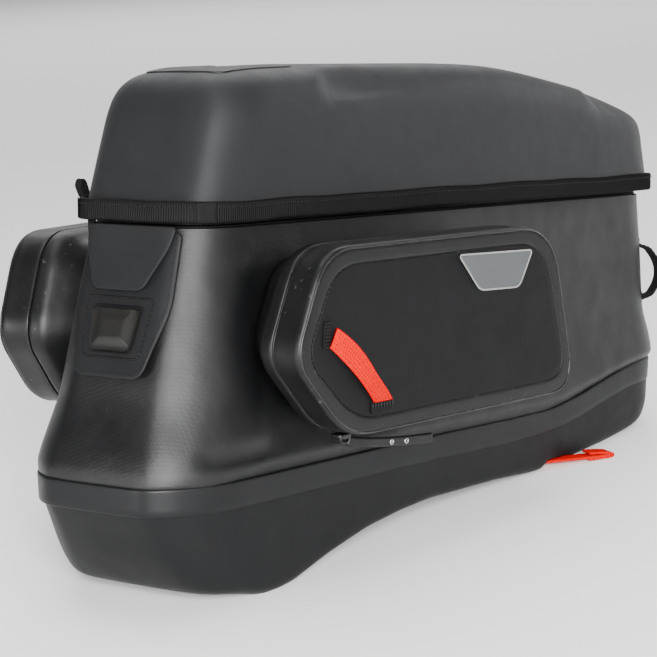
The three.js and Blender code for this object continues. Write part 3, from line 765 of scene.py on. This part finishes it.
def half_outline(t):
    """Half the body's outline a share t of the way down, made once for each fortieth."""
    key = round(t * 40)
    if key not in HALVES:
        HALVES[key] = body_plan(key / 40).half()
    return HALVES[key]


def body_side(x, z):
    """Half the body's width at x and z."""
    half = half_outline(clamp((BODY_TOP - z) / (BODY_TOP - seam_z(x)), 0, 1))
    return 0.0 if x <= half[0][0] else linear(half, x)


def sag(x, y, t):
    """How far the soft wall stands in or out of its ruled shape."""
    side = smooth(abs(y), 30, 60)
    flat = bump(x, 10, 60, 340, 400) * side
    d = -1.6 * sin(pi * t) * flat
    d += 1.3 * bump(x, -20, -2, 8, 34) * bump(t, 0.02, 0.3, 0.55, 0.95) * side
    d -= 2.2 * bump(x, 16, 30, 40, 62) * bump(t, 0.05, 0.3, 0.8, 1.0) * side
    rise = (1 - t) * BODY_DEPTH
    foot = 1.3 + 1.6 * (1 - smooth(x, -22, 10))
    swell = foot * lerp(0.1, 1, smooth(rise, 4, 7.5)) + (3.9 - foot) * smooth(rise, 7.5, 13)
    d += swell * (1 - smooth(rise, 13, 50))
    d -= 1.5 * bump(rise, 12, 17, 19, 27) * bump(x, -26, -14, 14, 34) * smooth(abs(y), 20, 38)
    d += 0.9 * ripple(x, y, 0.02, t * 2.2) * sin(pi * clamp(t, 0, 1))
    return d + 0.25 * ripple(x, y, 0.07, t * 6.0 + 7)


def make_body():
    def rows(d):
        out = []
        for k in range(61):
            t = k / 60
            pts = [Vector((x, y, lerp(BODY_TOP, seam_z(x) + PLAY, t))) for x, y in body_plan(t, d).ring()]
            out.append([p + outward(pts, i).normalized() * sag(p.x, p.y, t) for i, p in enumerate(pts)])
        return out
    Shape().grid(rows(0) + rows(-2.5)[::-1]).build("body_skin", "tarpaulin", "body", ["body_wall"])


def wall_band(name, plan, profile, slot, body, node, look=None, height=lambda x, z: z):
    """A band round a plan: profile is a closed section of (out, up) points, put at height(x, up)."""
    pts = [Vector((x, y, 0)) for x, y in plan.ring()]
    rows = []
    for d, z in profile + profile[:1]:
        rows.append([Vector((p.x, p.y, height(p.x, z))) + outward(pts, i) * d for i, p in enumerate(pts)])
    Shape().grid(rows).build(name, slot, body, [node], look)


def teeth(points, first, axis, long, wide, tall):
    """Zip teeth at every fourth point of a ring: half a tooth's length, width and height, along axis."""
    shape = Shape()
    for i in range(first, len(points), 4):
        along = tangent(points, i, True)
        out = along.cross(axis)
        rows = [[points[i] + along * a * long + out * b * wide + axis * c * tall
                 for a, b in ((-1, -1), (1, -1), (1, 1), (-1, 1))] for c in (-1, 1)]
        shape.grid(rows).cap(rows[0], True).cap(rows[1])
    return shape


def make_bands():
    weld = [(0.2, -7.0), (0.7, -6.9), (1.05, -6.3), (1.2, -3.0), (1.3, 0.0), (1.4, 3.0), (1.55, 5.6),
            (1.5, 6.5), (1.25, 6.9), (0.8, 7.0)]
    wall_band("weld_band_skin", LOW_PLAN, weld, "band_plastic", "body", "weld_band",
              height=lambda x, z: seam_z(x) + z + 0.25 * noise.noise(Vector((x * 0.05, z, 3))))
    for body, high, low in (("lid", -0.2, -1.1), ("body", -1.8, -2.6)):
        tape = [(-0.2, high), (-0.2, low), (-8.8, low), (-8.8, high)]
        wall_band(body + "_zip_tape", TOP_PLAN.grown(-1), tape, "webbing", body, "zip_tape_" + body, "tape")
    for body, z, first in (("lid", -0.75, 0), ("body", -2.15, 2)):
        points = [Vector((x, y, z)) for x, y in TOP_PLAN.grown(-3.2).ring(1500)]
        teeth(points, first, UP, 0.55, 1.4, 0.45).build(body + "_zip_teeth", "hardware_plastic", body)


# ---- base ----
SEAT_RADIUS, SEAT_CEILING = 47.5, -160.6  # of the recess for the tank ring
TAB_ANGLE = radians(-39)
TAB_ROUTE = [[72.35, -166.85], [92, -164.85], [130, -161.6], [191, -159.7]]


def tab_point(radius, across, z):
    """A point in the tab's direction, at a radius from the tank ring's middle."""
    c, s = cos(TAB_ANGLE), sin(TAB_ANGLE)
    return Vector((RING_X + c * radius - s * across, s * radius + c * across, z))


def base_floor(x, y, z):
    """z raised to the ceiling of the ring's seat and of the channel for the tab."""
    dx = x - RING_X
    if hypot(dx, y) < SEAT_RADIUS:
        z = max(z, SEAT_CEILING)
    radius = dx * cos(TAB_ANGLE) + y * sin(TAB_ANGLE)
    across = -dx * sin(TAB_ANGLE) + y * cos(TAB_ANGLE)
    if radius > 40:
        ceiling = linear([[40, -163]] + TAB_ROUTE[1:] + [[215, -159]], radius) + 2.4
        half = lerp(12, 6.9, smooth(radius, 86, 94))
        z = max(z, lerp(z, ceiling, 1 - smooth(abs(across), half, half + 1.6)))
    return z


def base_plan(s, d=0.0):
    v = spline_row(BASE_ROWS, s)
    return Plan((v[0] - d, v[1] + d), (v[2] + d, v[3] + d), (v[4], v[5]), (v[6], v[7]))


def keel(x):
    """The height of the base's underside, with its bends eased."""
    return sum(linear(KEEL, x + step) for step in (-5, 0, 5, -2.5, 2.5)) / 5


def make_base():
    def rows(d, lift):
        outer = lift == 0

        def foot(x, y, z):
            return Vector((x, y, base_floor(x, y, z) if outer else z))
        out = []
        for k in range(41):
            s = k / 40 + 0.02 * sin(tau * k / 40)
            ring = base_plan(s, d).ring()
            out.append([foot(x, y, lerp(seam_z(x) - PLAY, keel(x) + lift, s)) for x, y in ring])
        last = base_plan(1, d).ring()
        for k in range(1, 41):
            t = k / 40
            raised = 1.2 * smooth(t, 0.06, 0.16) if outer else 0
            ring = drawn_in(last, (60, LID_FRONT - 120), t)
            out.append([foot(x, y, keel(x) + lift + raised) for x, y in ring])
        return out
    shape = Shape().grid(rows(0, 0)[::-1] + rows(-5, 6.5))
    shape.build("base_tray", "base_plastic", "body", ["base_shell"], weld=2e-5)


# ---- the rear face: flap, patch and badge ----
def rear_surface(y, z):
    """The x of the body's rear at half width y and height z, on its rounded corners too."""
    half = half_outline(depth(z))
    centre = half[0][0]
    last = max(i for i, p in enumerate(half) if p[0] < centre + 34)
    ends = [(y_, x) for x, y_ in half[:last]]
    return rear_x(z) + linear(ends, min(abs(y), ends[-1][0])) - centre


def rear_place(lift):
    return lambda a, b, h: Vector((rear_surface(a, b) - lift - h, a, b))


def on_rear(outline, h):
    return [rear_place(0.1)(a, b, h) for a, b in outline]


def make_rear():
    def curl(a, b, h):
        lift = 3.0 + 1.6 * smooth(-b, 8, 34)
        return Vector((lerp(rear_x(b), rear_surface(a, b), 0.8) - lift - h, a, b))
    outline = shield([[-27, -1.5, 3], [-25, -12, 4], [-15, -32.5, 4]], 160)
    flap = plate(Shape(), outline, curl, 2.0, 0.5, rings=24)
    flap = flap.build("flap", "lid_fabric", None, ["rear_flap"], look="flap_fabric")
    BAG @ Vector((rear_x(-3), 0, -3))
    BAG @ Vector((rear_x(-13), 0, -13))
    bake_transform(flap)
    outline = shield([[-28, -4.5, 3], [-29.5, -42, 7], [-20, -75, 6]], 200)
    patch = plate(Shape(), outline, rear_place(0.0), 1.4, 0.6, rings=24)
    patch.build("patch", "patch_rubber", "body", ["rear_patch"])
    frame_line = shield([[-20.5, -36.5, 4], [-17.5, -65.5, 4]], 160)
    up = Vector((-1, 0, 0.25))
    seam = stitches(Shape(), on_rear(frame_line, 1.42), up, 2.6, 1.8, 0.36)
    edge = [(26.2, -6), (27.4, -41), (18.8, -72.6)]
    edge = resampled(edge + [(-a, b) for a, b in edge[::-1]], 200, False)
    stitches(seam, on_rear(edge, 1.42), up, 3.0, 1.7, 0.22, closed=False)
    seam.build("patch_stitches", "webbing", "body", look="thread")
    # painted shade: a thin dark bead along the frame line stands for the shade in the patch's groove
    groove_shade = bead(on_rear(frame_line, 1.38), Vector((-1, 0, 0.2)), 0.12, 0.55)
    groove_shade.build("patch_groove", "patch_rubber", "body", look="tape")


def make_badge():
    def facets(a, b):
        side = 1.5 * smooth(abs(a), 5.5, 12.5)
        low = 1.6 * smooth(-b, 54.5, 60.5)
        high = 0.8 * smooth(b, -47.5, -43)
        return -max(side, low, high)
    badge = shield([[-14.5, -41.5, 3], [-12, -62, 3]], 120)
    plate(Shape(), badge, rear_place(1.6), 3.2, 0.5, rings=46, relief=facets).build(
        "badge", "badge_rubber", "body", ["badge_plate"], sharp=28)
    line = shield([[-15.4, -40.6, 3], [-12.8, -62.9, 3]], 120)
    rim = bead(on_rear(line, 1.45), Vector((-1, 0, 0.2)), 0.4, 0.5)
    rim.build("badge_rim", "badge_rubber", "body", look="tape")


# ---- side pockets ----
POCKET_W = 93.8  # half width of the bag to the pocket's plane at x = 0
TURN = radians(9.67)
U = Vector((cos(TURN), sin(TURN), 0))
N = Vector((-sin(TURN), cos(TURN), 0))
CORNERS = [[-6.5, -64, 14], [16, -10.5, 20], [210, -9.5, 30], [234.5, -106.5, 24], [33, -107, 20]]
MID = (114, -60)
HALF_SIZE = (120, 50)  # about half the outline's length and height
OUTLINE = outlined(CORNERS, 300, 12)


def on_pocket(u, z, d):
    """A point u along the left pocket's plane, at height z and a distance d out of it."""
    p = Vector((0, POCKET_W, 0)) + U * u + N * d
    p.z = z
    return p


def inset_outline(inset):
    """The pocket's outline scaled down towards its middle, by about inset on each side."""
    return [tuple(lerp(p[k], MID[k], inset / HALF_SIZE[k]) for k in (0, 1)) for p in OUTLINE]


def pocket_ring(inset, d, shift=0.0):
    """The inset outline at a distance d from the pocket's plane, its rear end moved forward by shift."""
    return [on_pocket(u + shift * (1 - smooth(x, 0, 120)), z, d)
            for (u, z), (x, _) in zip(inset_outline(inset), OUTLINE)]


def face_ring(inset, scale, d):
    """The inset outline scaled towards the pocket's middle, to close its face."""
    return [on_pocket(MID[0] + (u - MID[0]) * scale, MID[1] + (z - MID[1]) * scale, d)
            for u, z in inset_outline(inset)]


def make_pocket(side, mirror):
    body = "pocket_" + side

    def done(shape, name, slot, on, node=None, look=None):
        nodes = [node + "_" + side] if node else ()
        shape.build(name + "_" + side, slot, on, nodes, look, mirror=mirror)

    front = [(9.9, -0.9), (9.6, -0.8), (9.3, -0.1), (8.8, 0.45), (8.0, 0.6), (5.5, 0.5), (3.6, 0.55),
             (2.6, 0.5), (1.7, 0.2), (0.9, -0.5), (0.35, -1.4), (0.1, -2.6), (0.2, -4.2), (0.3, -7),
             (0.25, -10), (0.12, -13), (0.0, -15.2), (0.05, -16.5), (0.45, -17.0), (1.3, -17.15),
             (2.0, -16.8), (2.2, -15.2), (3.0, -14.6), (3.2, -10), (3.4, -4.2), (6, -3.2), (9.9, -3)]
    rows = [face_ring(9.9, k / 6, -0.9) for k in range(6)]
    rows += [pocket_ring(i, d) for i, d in front]
    rows += [face_ring(9.9, 1 - k / 6, -3) for k in range(1, 7)]
    done(Shape().grid(rows), "pocket_case", "tarpaulin", body, "pocket_shell", look="gusset")

    face = resampled(inset_outline(9.7), 300)
    pillow = plate(Shape(), face, lambda a, b, h: on_pocket(a, b, h - 0.9), 1.5, 0.45, dome=1.0, rings=20)
    done(pillow, "pocket_face", "panel_fabric", body, "pocket_panel")
    line = [on_pocket(u, z, 0.42) for u, z in resampled(inset_outline(9.35), 300)]
    seam = stitches(Shape(), line, N, 2.7, 1.3, 0.26, lift=-0.05)
    done(seam, "pocket_stitches", "webbing", body, look="speck")
    done(bead(pocket_ring(1.5, 0.25), N, 0.5, 0.5), "pocket_piping", "tarpaulin", body, look="piping")
    done(bead(pocket_ring(0.25, -16.6), N, 0.3, 0.3), "pocket_zip_piping", "tarpaulin", body, look="piping")

    for end, on, d, side_d in (("front", body, -15.5, -17.1), ("back", "body", -19.2, -17.6)):
        lip = [(3.3, d), (2.5, d), (2.3, lerp(d, side_d, 0.5)), (2.6, side_d), (6.0, side_d), (6.0, d)]
        tape = Shape().grid([pocket_ring(i, e) for i, e in lip + lip[:1]])
        done(tape, "pocket_zip_" + end, "webbing", on, "pocket_tape_" + end, "tape")
    for end, on, d, first in (("front", body, -17.1, 0), ("back", "body", -17.6, 2)):
        ring = [on_pocket(u, z, d) for u, z in resampled(inset_outline(3.4), 1200)]
        done(teeth(ring, first, N, 0.5, 0.9, 0.25), "pocket_teeth_" + end, "hardware_plastic", on)

    back = [(3.0, -19.4), (2.2, -18.9), (2.0, -18.0), (1.3, -17.6), (0.45, -17.7), (0.05, -18.2),
            (0.0, -19.6), (0.05, -21.4), (0.3, -23.4), (1.0, -25.2), (2.2, -27), (3.9, -29), (5.4, -32),
            (6.7, -36), (7.8, -41), (8.6, -46), (9, -50)]
    rows = [pocket_ring(i, d, 12 * smooth(-d, 26, 50)) for i, d in back]
    rows += [pocket_ring(i + 2.6, d, 12 * smooth(-d, 26, 50)) for i, d in reversed(back[5:])]
    for row in rows:
        for p in row:
            p.y = max(p.y, body_side(p.x, p.z) - 1.6)
            if p.x < 6:
                p.x = max(p.x, body_plan(depth(p.z)).rear[0] + 6)
    done(Shape().grid(rows + rows[:1]), "pocket_gusset", "tarpaulin", "body", "pocket_back", look="gusset")
    line = pocket_ring(0.3, -14.2)
    ups = [tangent(line, i, True).cross(N) for i in range(len(line))]
    seam = stitches(Shape(), line, ups, 3.0, 1.5, 0.2, lift=0.0)
    done(seam, "pocket_case_stitches", "webbing", body, look="speck")

    make_strap(done, body)
    reflector = outlined([[121, -21, 3], [188, -22.5, 3], [176, -42, 4], [140, -41, 4]], 120)
    plates = plate(Shape(), reflector, lambda a, b, h: on_pocket(a, b, 1.35 + h), 0.5, 0.2, rings=6)
    done(plates, "pocket_reflector_film", "reflector", body, "pocket_reflector")
    edge = bead([on_pocket(a, b, 1.85) for a, b in reflector], N, 0.28, 0.5)
    done(edge, "pocket_reflector_rim", "reflector", body, look="reflector_edge")
    make_pocket_slider(side, done)


# the ends of the red strap's two edges on the pocket's face
STRAP_UPPER = ((22.9, -49.7), (65.5, -90.0))
STRAP_LOWER = ((17.6, -59.5), (50.9, -90.2))


def make_strap(done, body):
    """The red strap, bowed out from the pocket's face, and the two sewn tabs that hold its ends."""
    rows = []
    width = 13.5
    section = webbing(width, 1.7, ribs=6, depth=0.36)(0)
    for k in range(49):
        t = k / 48
        lift = 2.3 + 3.0 * sin(pi * t) ** 0.8
        up, low = on_pocket(*between(*STRAP_UPPER, t), lift), on_pocket(*between(*STRAP_LOWER, t), lift)
        swell = 2.2 * sin(pi * clamp(t * 1.6, 0, 1))
        rows.append([low + (up - low + UP * swell) * (a / width + 0.5) + N * h for a, h in section])
    strap = Shape().grid(rows).cap(rows[0], True).cap(rows[-1])
    done(strap, "pocket_strap_webbing", "red_webbing", body, "pocket_strap")
    tabs, seam = Shape(), Shape()
    for corners in ([[14, -46, 1], [19.8, -46, 1], [18.8, -59.5, 1], [13.2, -59, 1]],
                    [[49.5, -89.5, 1], [67, -88.6, 1], [67.4, -95, 1], [50, -96.5, 1]]):
        outline = outlined(corners, 60, 4)
        plate(tabs, outline, lambda p, q, h: on_pocket(p, q, 1.1 + h), 0.6, 0.25, rings=3)
        (x0, y0), (x1, y1) = corners[0][:2], corners[2][:2]
        tall = abs(y1 - y0) > abs(x1 - x0)
        for k in range(8):
            t = (k + 0.5) / 8
            ends = [(lerp(x0, x1, t), lerp(y0, y1, e)) for e in (0.12, 0.88)]
            if tall:
                ends = [(lerp(x0, x1, e), lerp(y0, y1, t)) for e in (0.1, 0.9)]
            long = dist(*ends)
            ends = [on_pocket(*e, 1.75) for e in ends]
            stitches(seam, ends, N, long * 0.99, long * 0.9, 0.45, closed=False)
    done(tabs, "pocket_strap_tabs", "panel_fabric", body, look="tape")
    done(seam, "pocket_strap_bartacks", "webbing", body, look="thread")


def make_pocket_slider(side, done):
    """The pocket zip's slider with its ring, and the tongue threaded through it."""
    u0, z0, d0 = 56, -108.5, -23.35
    slider = Shape()
    outline = outlined([[-5, -4, 2.2], [5, -3, 1.6], [5, 3, 1.6], [-5, 4, 2.2]], 48)
    plate(slider, outline, lambda a, b, h: on_pocket(u0 + a, z0 - 1.0 - h, d0 + b),
          2.6, 0.7, dome=0.5, rings=5)
    ring = [on_pocket(u0 + 2.2 + 3.4 * cos(w), z0 - 4.4 + 1.9 * sin(w), d0) for w in angles(32)]
    bead(ring, N, 0.75, 0.75, 10, slider)
    done(slider, "pocket_slider_body", "hardware_plastic", "pocket_slider_" + side, "pocket_slider")
    route = [(4.9, -5.4, 0), (8, -6.6, 0.5), (20, -8.6, 1.2), (36, -10.6, 0.8), (54, -12.4, 0.3),
             (75, -13.8, 0)]
    path = smooth_path([on_pocket(u0 + a, z0 + b, d0 + c) for a, b, c in route], 50)
    tongue = sweep(Shape(), path, UP, webbing(5.4, 1.9))
    pull = "pocket_pull_" + side
    done(tongue, "pocket_pull_tongue", "pad_rubber", pull, "pocket_pull")
    eyes = Shape()
    for k in (24, 33):
        c = path[k]
        for face in (1, -1):
            rows = []
            for r, h in ((0.7, 0.7), (0.7, 1.1), (1.15, 1.35), (1.6, 1.15), (1.75, 0.8)):
                rows.append([c + N * face * h + U * cos(w) * r + UP * sin(w) * r for w in angles(16)])
            eyes.grid(rows + rows[:1])
    done(eyes, "pocket_pull_eyelets", "pad_rubber", pull, look="steel")


# ---- front: handle, loops, hinge tape ----
HANDLE_Z = -46


def front_x(y, z):
    """The x of the body's front face at half width y and height z."""
    plan = body_plan(depth(z))
    edge = clamp(abs(y) / plan.front[1], 0, 1)
    return plan.front[0] + plan.bow[1] * (1 - edge * edge)


def make_handle():
    x0 = front_x(0, HANDLE_Z) + 1

    def front_path(route, n):
        return smooth_path([(x0 + out, y, HANDLE_Z) for y, out in route], n)
    path = front_path([(-62, 8), (-48, 12), (-30, 21), (0, 25), (30, 21), (48, 12), (62, 8)], 90)
    strap = sweep(Shape(), path, UP, webbing(24, 2.3, ribs=9, depth=0.12))
    strap.build("handle_webbing", "webbing", "handle", ["handle_strap"])

    def grip_section(t):
        squeeze = 1 - 0.18 * (abs(t - 0.5) * 2) ** 6
        pts = []
        for w in angles(48):
            a = copysign(abs(cos(w)) ** 0.55, cos(w)) * 13.8
            h = copysign(abs(sin(w)) ** 0.7, sin(w)) * (4.1 + 0.35 * sin(t * 60))
            pts.append((a * squeeze, h * squeeze))
        return pts
    path = front_path([(-33, 19.6), (-16, 23.8), (0, 25), (16, 23.8), (33, 19.6)], 80)
    grip = sweep(Shape(), path, UP, grip_section)
    grip = grip.build("handle_pad", "pad_rubber", "handle", ["handle_grip"], sharp=50)
    for side, sign in (("left", 1), ("right", -1)):
        make_anchor(side, sign)


def make_anchor(side, sign):
    """One end of the handle: a sewn patch, and the pad that fills the gap behind it."""
    def front_place(lift):
        return lambda a, b, h: Vector((front_x(a, b) + lift + h, a * sign, b))
    outline = outlined(box(52, -60, 76, -32, 3), 80)
    patch = plate(Shape(), outline, front_place(3), 1.9, 0.5, rings=6)
    patch.build("handle_patch_" + side, "webbing", "body", ["handle_anchor_" + side])
    seam = Shape()
    p, q, r, s = [(55, -57), (73, -57), (73, -35), (55, -35)]
    for line in ([p, q, r, s, p], [p, r], [q, s]):
        pts = [front_place(3)(a, b, 2.0) for a, b in resampled(line, 60, False)]
        stitches(seam, pts, Vector((1, 0, 0)), 2.8, 2.0, 0.35, closed=False)
    seam.build("handle_patch_stitches_" + side, "webbing", "body", look="thread")
    pad = plate(Shape(), outline, front_place(-1.5), 4.3, 0.4, rings=3)
    pad.build("handle_patch_pad_" + side, "tarpaulin", "body")


# level directions out of the front corner and along its face
CORNER_OUT = Vector((0.72, 0.69, 0))
CORNER_ALONG = Vector((0.69, -0.72, 0))


def make_loops():
    for side, mirror in (("left", False), ("right", True)):
        pts = []
        for i in range(15):
            t = i / 14
            z = lerp(-36, -71, t)
            plan = body_plan(depth(z))
            lift = 4.2 + 11 * sin(pi * t) ** 0.7 - (0 if 0 < i < 14 else 3.2)
            pts.append(Vector((plan.front[0] - 9, plan.front[1] - 10.5, z)) + CORNER_OUT * lift)
        path = smooth_path(pts, 70)
        loop = sweep(Shape(), path, CORNER_ALONG, webbing(10, 1.9, ribs=4, depth=0.12))
        loop.build("corner_webbing_" + side, "webbing", "body", ["corner_loop_" + side], mirror=mirror)
        edge = Shape()
        for s in (-1, 1):
            line = [p + CORNER_ALONG * 3.6 * s for p in path]
            ups = [CORNER_ALONG.cross(tangent(line, i, False)) for i in range(len(line))]
            stitches(edge, [p + u * 0.9 for p, u in zip(line, ups)], ups, 2.8, 2.0, 0.3, closed=False)
        edge.build("corner_webbing_stitches_" + side, "webbing", "body", look="thread", mirror=mirror)
        feet = Shape()
        outline = outlined(box(-6, -5, 6, 5, 1.5), 50)
        for c in (pts[0], pts[-1]):
            plate(feet, outline, lambda a, b, h: c + CORNER_ALONG * a + UP * b + CORNER_OUT * (h - 3.2),
                  3.0, 0.5, rings=3)
        feet.build("corner_webbing_feet_" + side, "webbing", "body", mirror=mirror)


def make_hinge():
    outline = outlined([[-84, -16, 3], [84, -16, 3], [84, 2.4, 1], [-84, 2.4, 1]], 200)
    fold = plate(Shape(), outline, lambda a, b, h: Vector((front_x(a, -9) + 4.3 + h, a, b)),
                 1.2, 0.35, rings=24)
    fold = fold.build("hinge_tape", "webbing", None, ["lid_hinge"])
    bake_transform(fold)
    seam = Shape()
    for z in (-13.6, -8):
        pts = [Vector((front_x(a, -9) + 5.5, a, z)) for a in range(-81, 82, 2)]
        stitches(seam, pts, Vector((1, 0, 0)), 2.9, 2.0, 0.35, closed=False)
    seam.build("hinge_stitches", "webbing", "body", look="thread")


def make_main_slider():
    turn = atan(WIDENING)
    ahead, out = Vector((cos(turn), sin(turn), 0)), Vector((-sin(turn), cos(turn), 0))
    centre = Vector((20, 45.6, -6))
    outline = outlined([[-5.5, -3.4, 2], [5.5, -2.6, 1.5], [5.5, 2.6, 1.5], [-5.5, 3.4, 2]], 48)
    slider = plate(Shape(), outline, lambda a, b, h: centre + ahead * a + UP * b + out * (h - 1.7),
                   3.2, 0.8, dome=0.4, rings=5)
    bridge = [centre + ahead * (i / 2 - 4) + out * (1.2 + 1.9 * sin(pi * i / 16)) for i in range(17)]
    sweep(slider, bridge, UP, webbing(2.6, 1.2))
    slider.build("main_slider_body", "hardware_plastic", "main_slider", ["main_zip_slider"])
    loop = [(22, -9), (21, -2), (16, 6), (10, 13), (8, 16.4), (9.8, 18.8), (13, 17.8), (17, 11.5),
            (21.5, 3), (24, -8)]
    path = smooth_path([Vector((5, 49.9, -0.5)) + ahead * a + UP * b for a, b in loop], 90)
    pull = sweep(Shape(), path, out, webbing(4.2, 1.5, ribs=2, depth=0.1))
    pull.build("main_pull_loop", "pad_rubber", "main_pull", ["main_zip_pull"], look="webbing")


def make_tab():
    """The red webbing pull: a strip from the latch through the base's channel, folded into a loop outside."""
    route = [(r, z + 0.9) for r, z in TAB_ROUTE[:-1]] + [(150, -160.3), (178, -159.4), (190.5, -158.6)]
    path = smooth_path([tab_point(r, 0, z) for r, z in route], 80)
    across = tab_point(0, 1, 0) - tab_point(0, 0, 0)
    strip = sweep(Shape(), path, across, webbing(10.8, 1.5, ribs=5, depth=0.22))
    strip.build("release_webbing", "red_webbing", "latch", ["release_tab"])
    fold = [(176, -160.8), (184, -160.2), (190, -159.7), (192.4, -158.7), (190, -157.5), (184, -157.0),
            (176, -157.0)]
    loop = smooth_path([tab_point(r, 0, z) for r, z in fold], 50)
    end = sweep(Shape(), loop, across, webbing(11, 1.3, ribs=5, depth=0.22))
    end.build("release_loop", "red_webbing", "latch")


# ---- the plain hard pieces of the frame keep their shapes ----
def dress_frame():
    slots = {s["node"]: s["material_slot"] for s in frame["record"]["subparts"]}
    for name, obj in frame["nodes"].items():
        obj.data.materials.clear()
        obj.data.materials.append(LOOKS[slots[name]])
        if obj.hide_render:
            continue
        mod = obj.modifiers.new("edge", "BEVEL")
        mod.width, mod.segments, mod.limit_method = 0.0004, 2, "ANGLE"
        mod.angle_limit = radians(40)
        obj.data.shade_smooth()
        obj.data.set_sharp_from_angle(angle=radians(35))


# ---- room ----
def make_floor():
    look = Nodes("floor")
    look.shader.inputs["Base Color"].default_value = (0.93, 0.93, 0.93, 1)
    look.tree.links.new(look.ramp(look.noise(3.0), 0.65, 0.75), look.shader.inputs["Roughness"])
    mesh = bpy.data.meshes.new("floor")
    radii = (0.01, 1, 3, 6, 10, 15, 20)
    n = 64
    points = [(r * cos(w), r * sin(w), 0) for r in radii for w in angles(n)]
    faces = [(r + i, r + (i + 1) % n, r + n + (i + 1) % n, r + n + i)
             for r in range(0, n * (len(radii) - 1), n) for i in range(n)]
    mesh.from_pydata(points, [], faces + [tuple(range(n))])
    floor = bpy.data.objects.new("floor", mesh)
    bpy.context.scene.collection.objects.link(floor)
    mesh.materials.append(look.mat)


def make_world():
    """A grey world that is brighter ahead of the bag and to its left."""
    world = bpy.data.worlds.new("studio")
    bpy.context.scene.world = world
    world.use_nodes = True
    tree = world.node_tree
    facing = tree.nodes.new("ShaderNodeVectorMath")
    facing.operation = "DOT_PRODUCT"
    facing.inputs[1].default_value = (0.83, 0.55, 0)
    tree.links.new(tree.nodes.new("ShaderNodeTexCoord").outputs["Generated"], facing.inputs[0])
    level = tree.nodes.new("ShaderNodeMapRange")
    level.interpolation_type = "SMOOTHSTEP"
    for key, value in (("From Min", 0.3), ("From Max", 0.9), ("To Min", 0.1), ("To Max", 0.85)):
        level.inputs[key].default_value = value
    tree.links.new(facing.outputs["Value"], level.inputs["Value"])
    back = tree.nodes["Background"]
    back.inputs["Color"].default_value = (0.97, 0.98, 1.0, 1)
    tree.links.new(level.outputs["Result"], back.inputs["Strength"])


def area(name, where, aim, size, power):
    data = bpy.data.lights.new(name, "AREA")
    data.shape = "RECTANGLE"
    data.size, data.size_y = size
    data.energy = power
    lamp = bpy.data.objects.new(name, data)
    where, aim = Vector(where), Vector(aim)
    turn = (aim - where).to_track_quat("-Z", "Y").to_matrix().to_4x4()
    lamp.matrix_world = Matrix.Translation(where) @ turn
    bpy.context.scene.collection.objects.link(lamp)


def make_lights():
    area("corner", (-1.55, -1.15, 0.62), (-0.15, -0.04, 0.12), (0.75, 0.95), 125)
    area("overhead", (-0.1, 0.1, 2.0), (0, 0, 0.2), (1.6, 1.2), 26)
    area("front", (2.0, -0.75, 0.7), (0.15, -0.05, 0.12), (0.5, 1.2), 12)
    area("shoulder", (-0.5, -1.85, 0.62), (-0.15, -0.05, 0.12), (0.7, 0.8), 11)
    area("far_floor", (3.9, 2.4, 3.4), (4.1, 2.5, 0), (4.0, 4.0), 190)
    area("side", (0.2, -2.3, 1.3), (0.05, 0, 0.1), (1.2, 0.6), 3)
    area("rear_far", (-1.7, 0.45, 0.25), (-0.15, 0.06, 0.12), (0.3, 0.5), 16)


make_lid()
make_binding()
make_lid_pad()
make_net()
make_body()
make_bands()
make_base()
make_rear()
make_badge()
make_pocket("left", False)
make_pocket("right", True)
make_handle()
make_loops()
make_hinge()
make_main_slider()
make_tab()
dress_frame()
make_floor()
make_world()
make_lights()
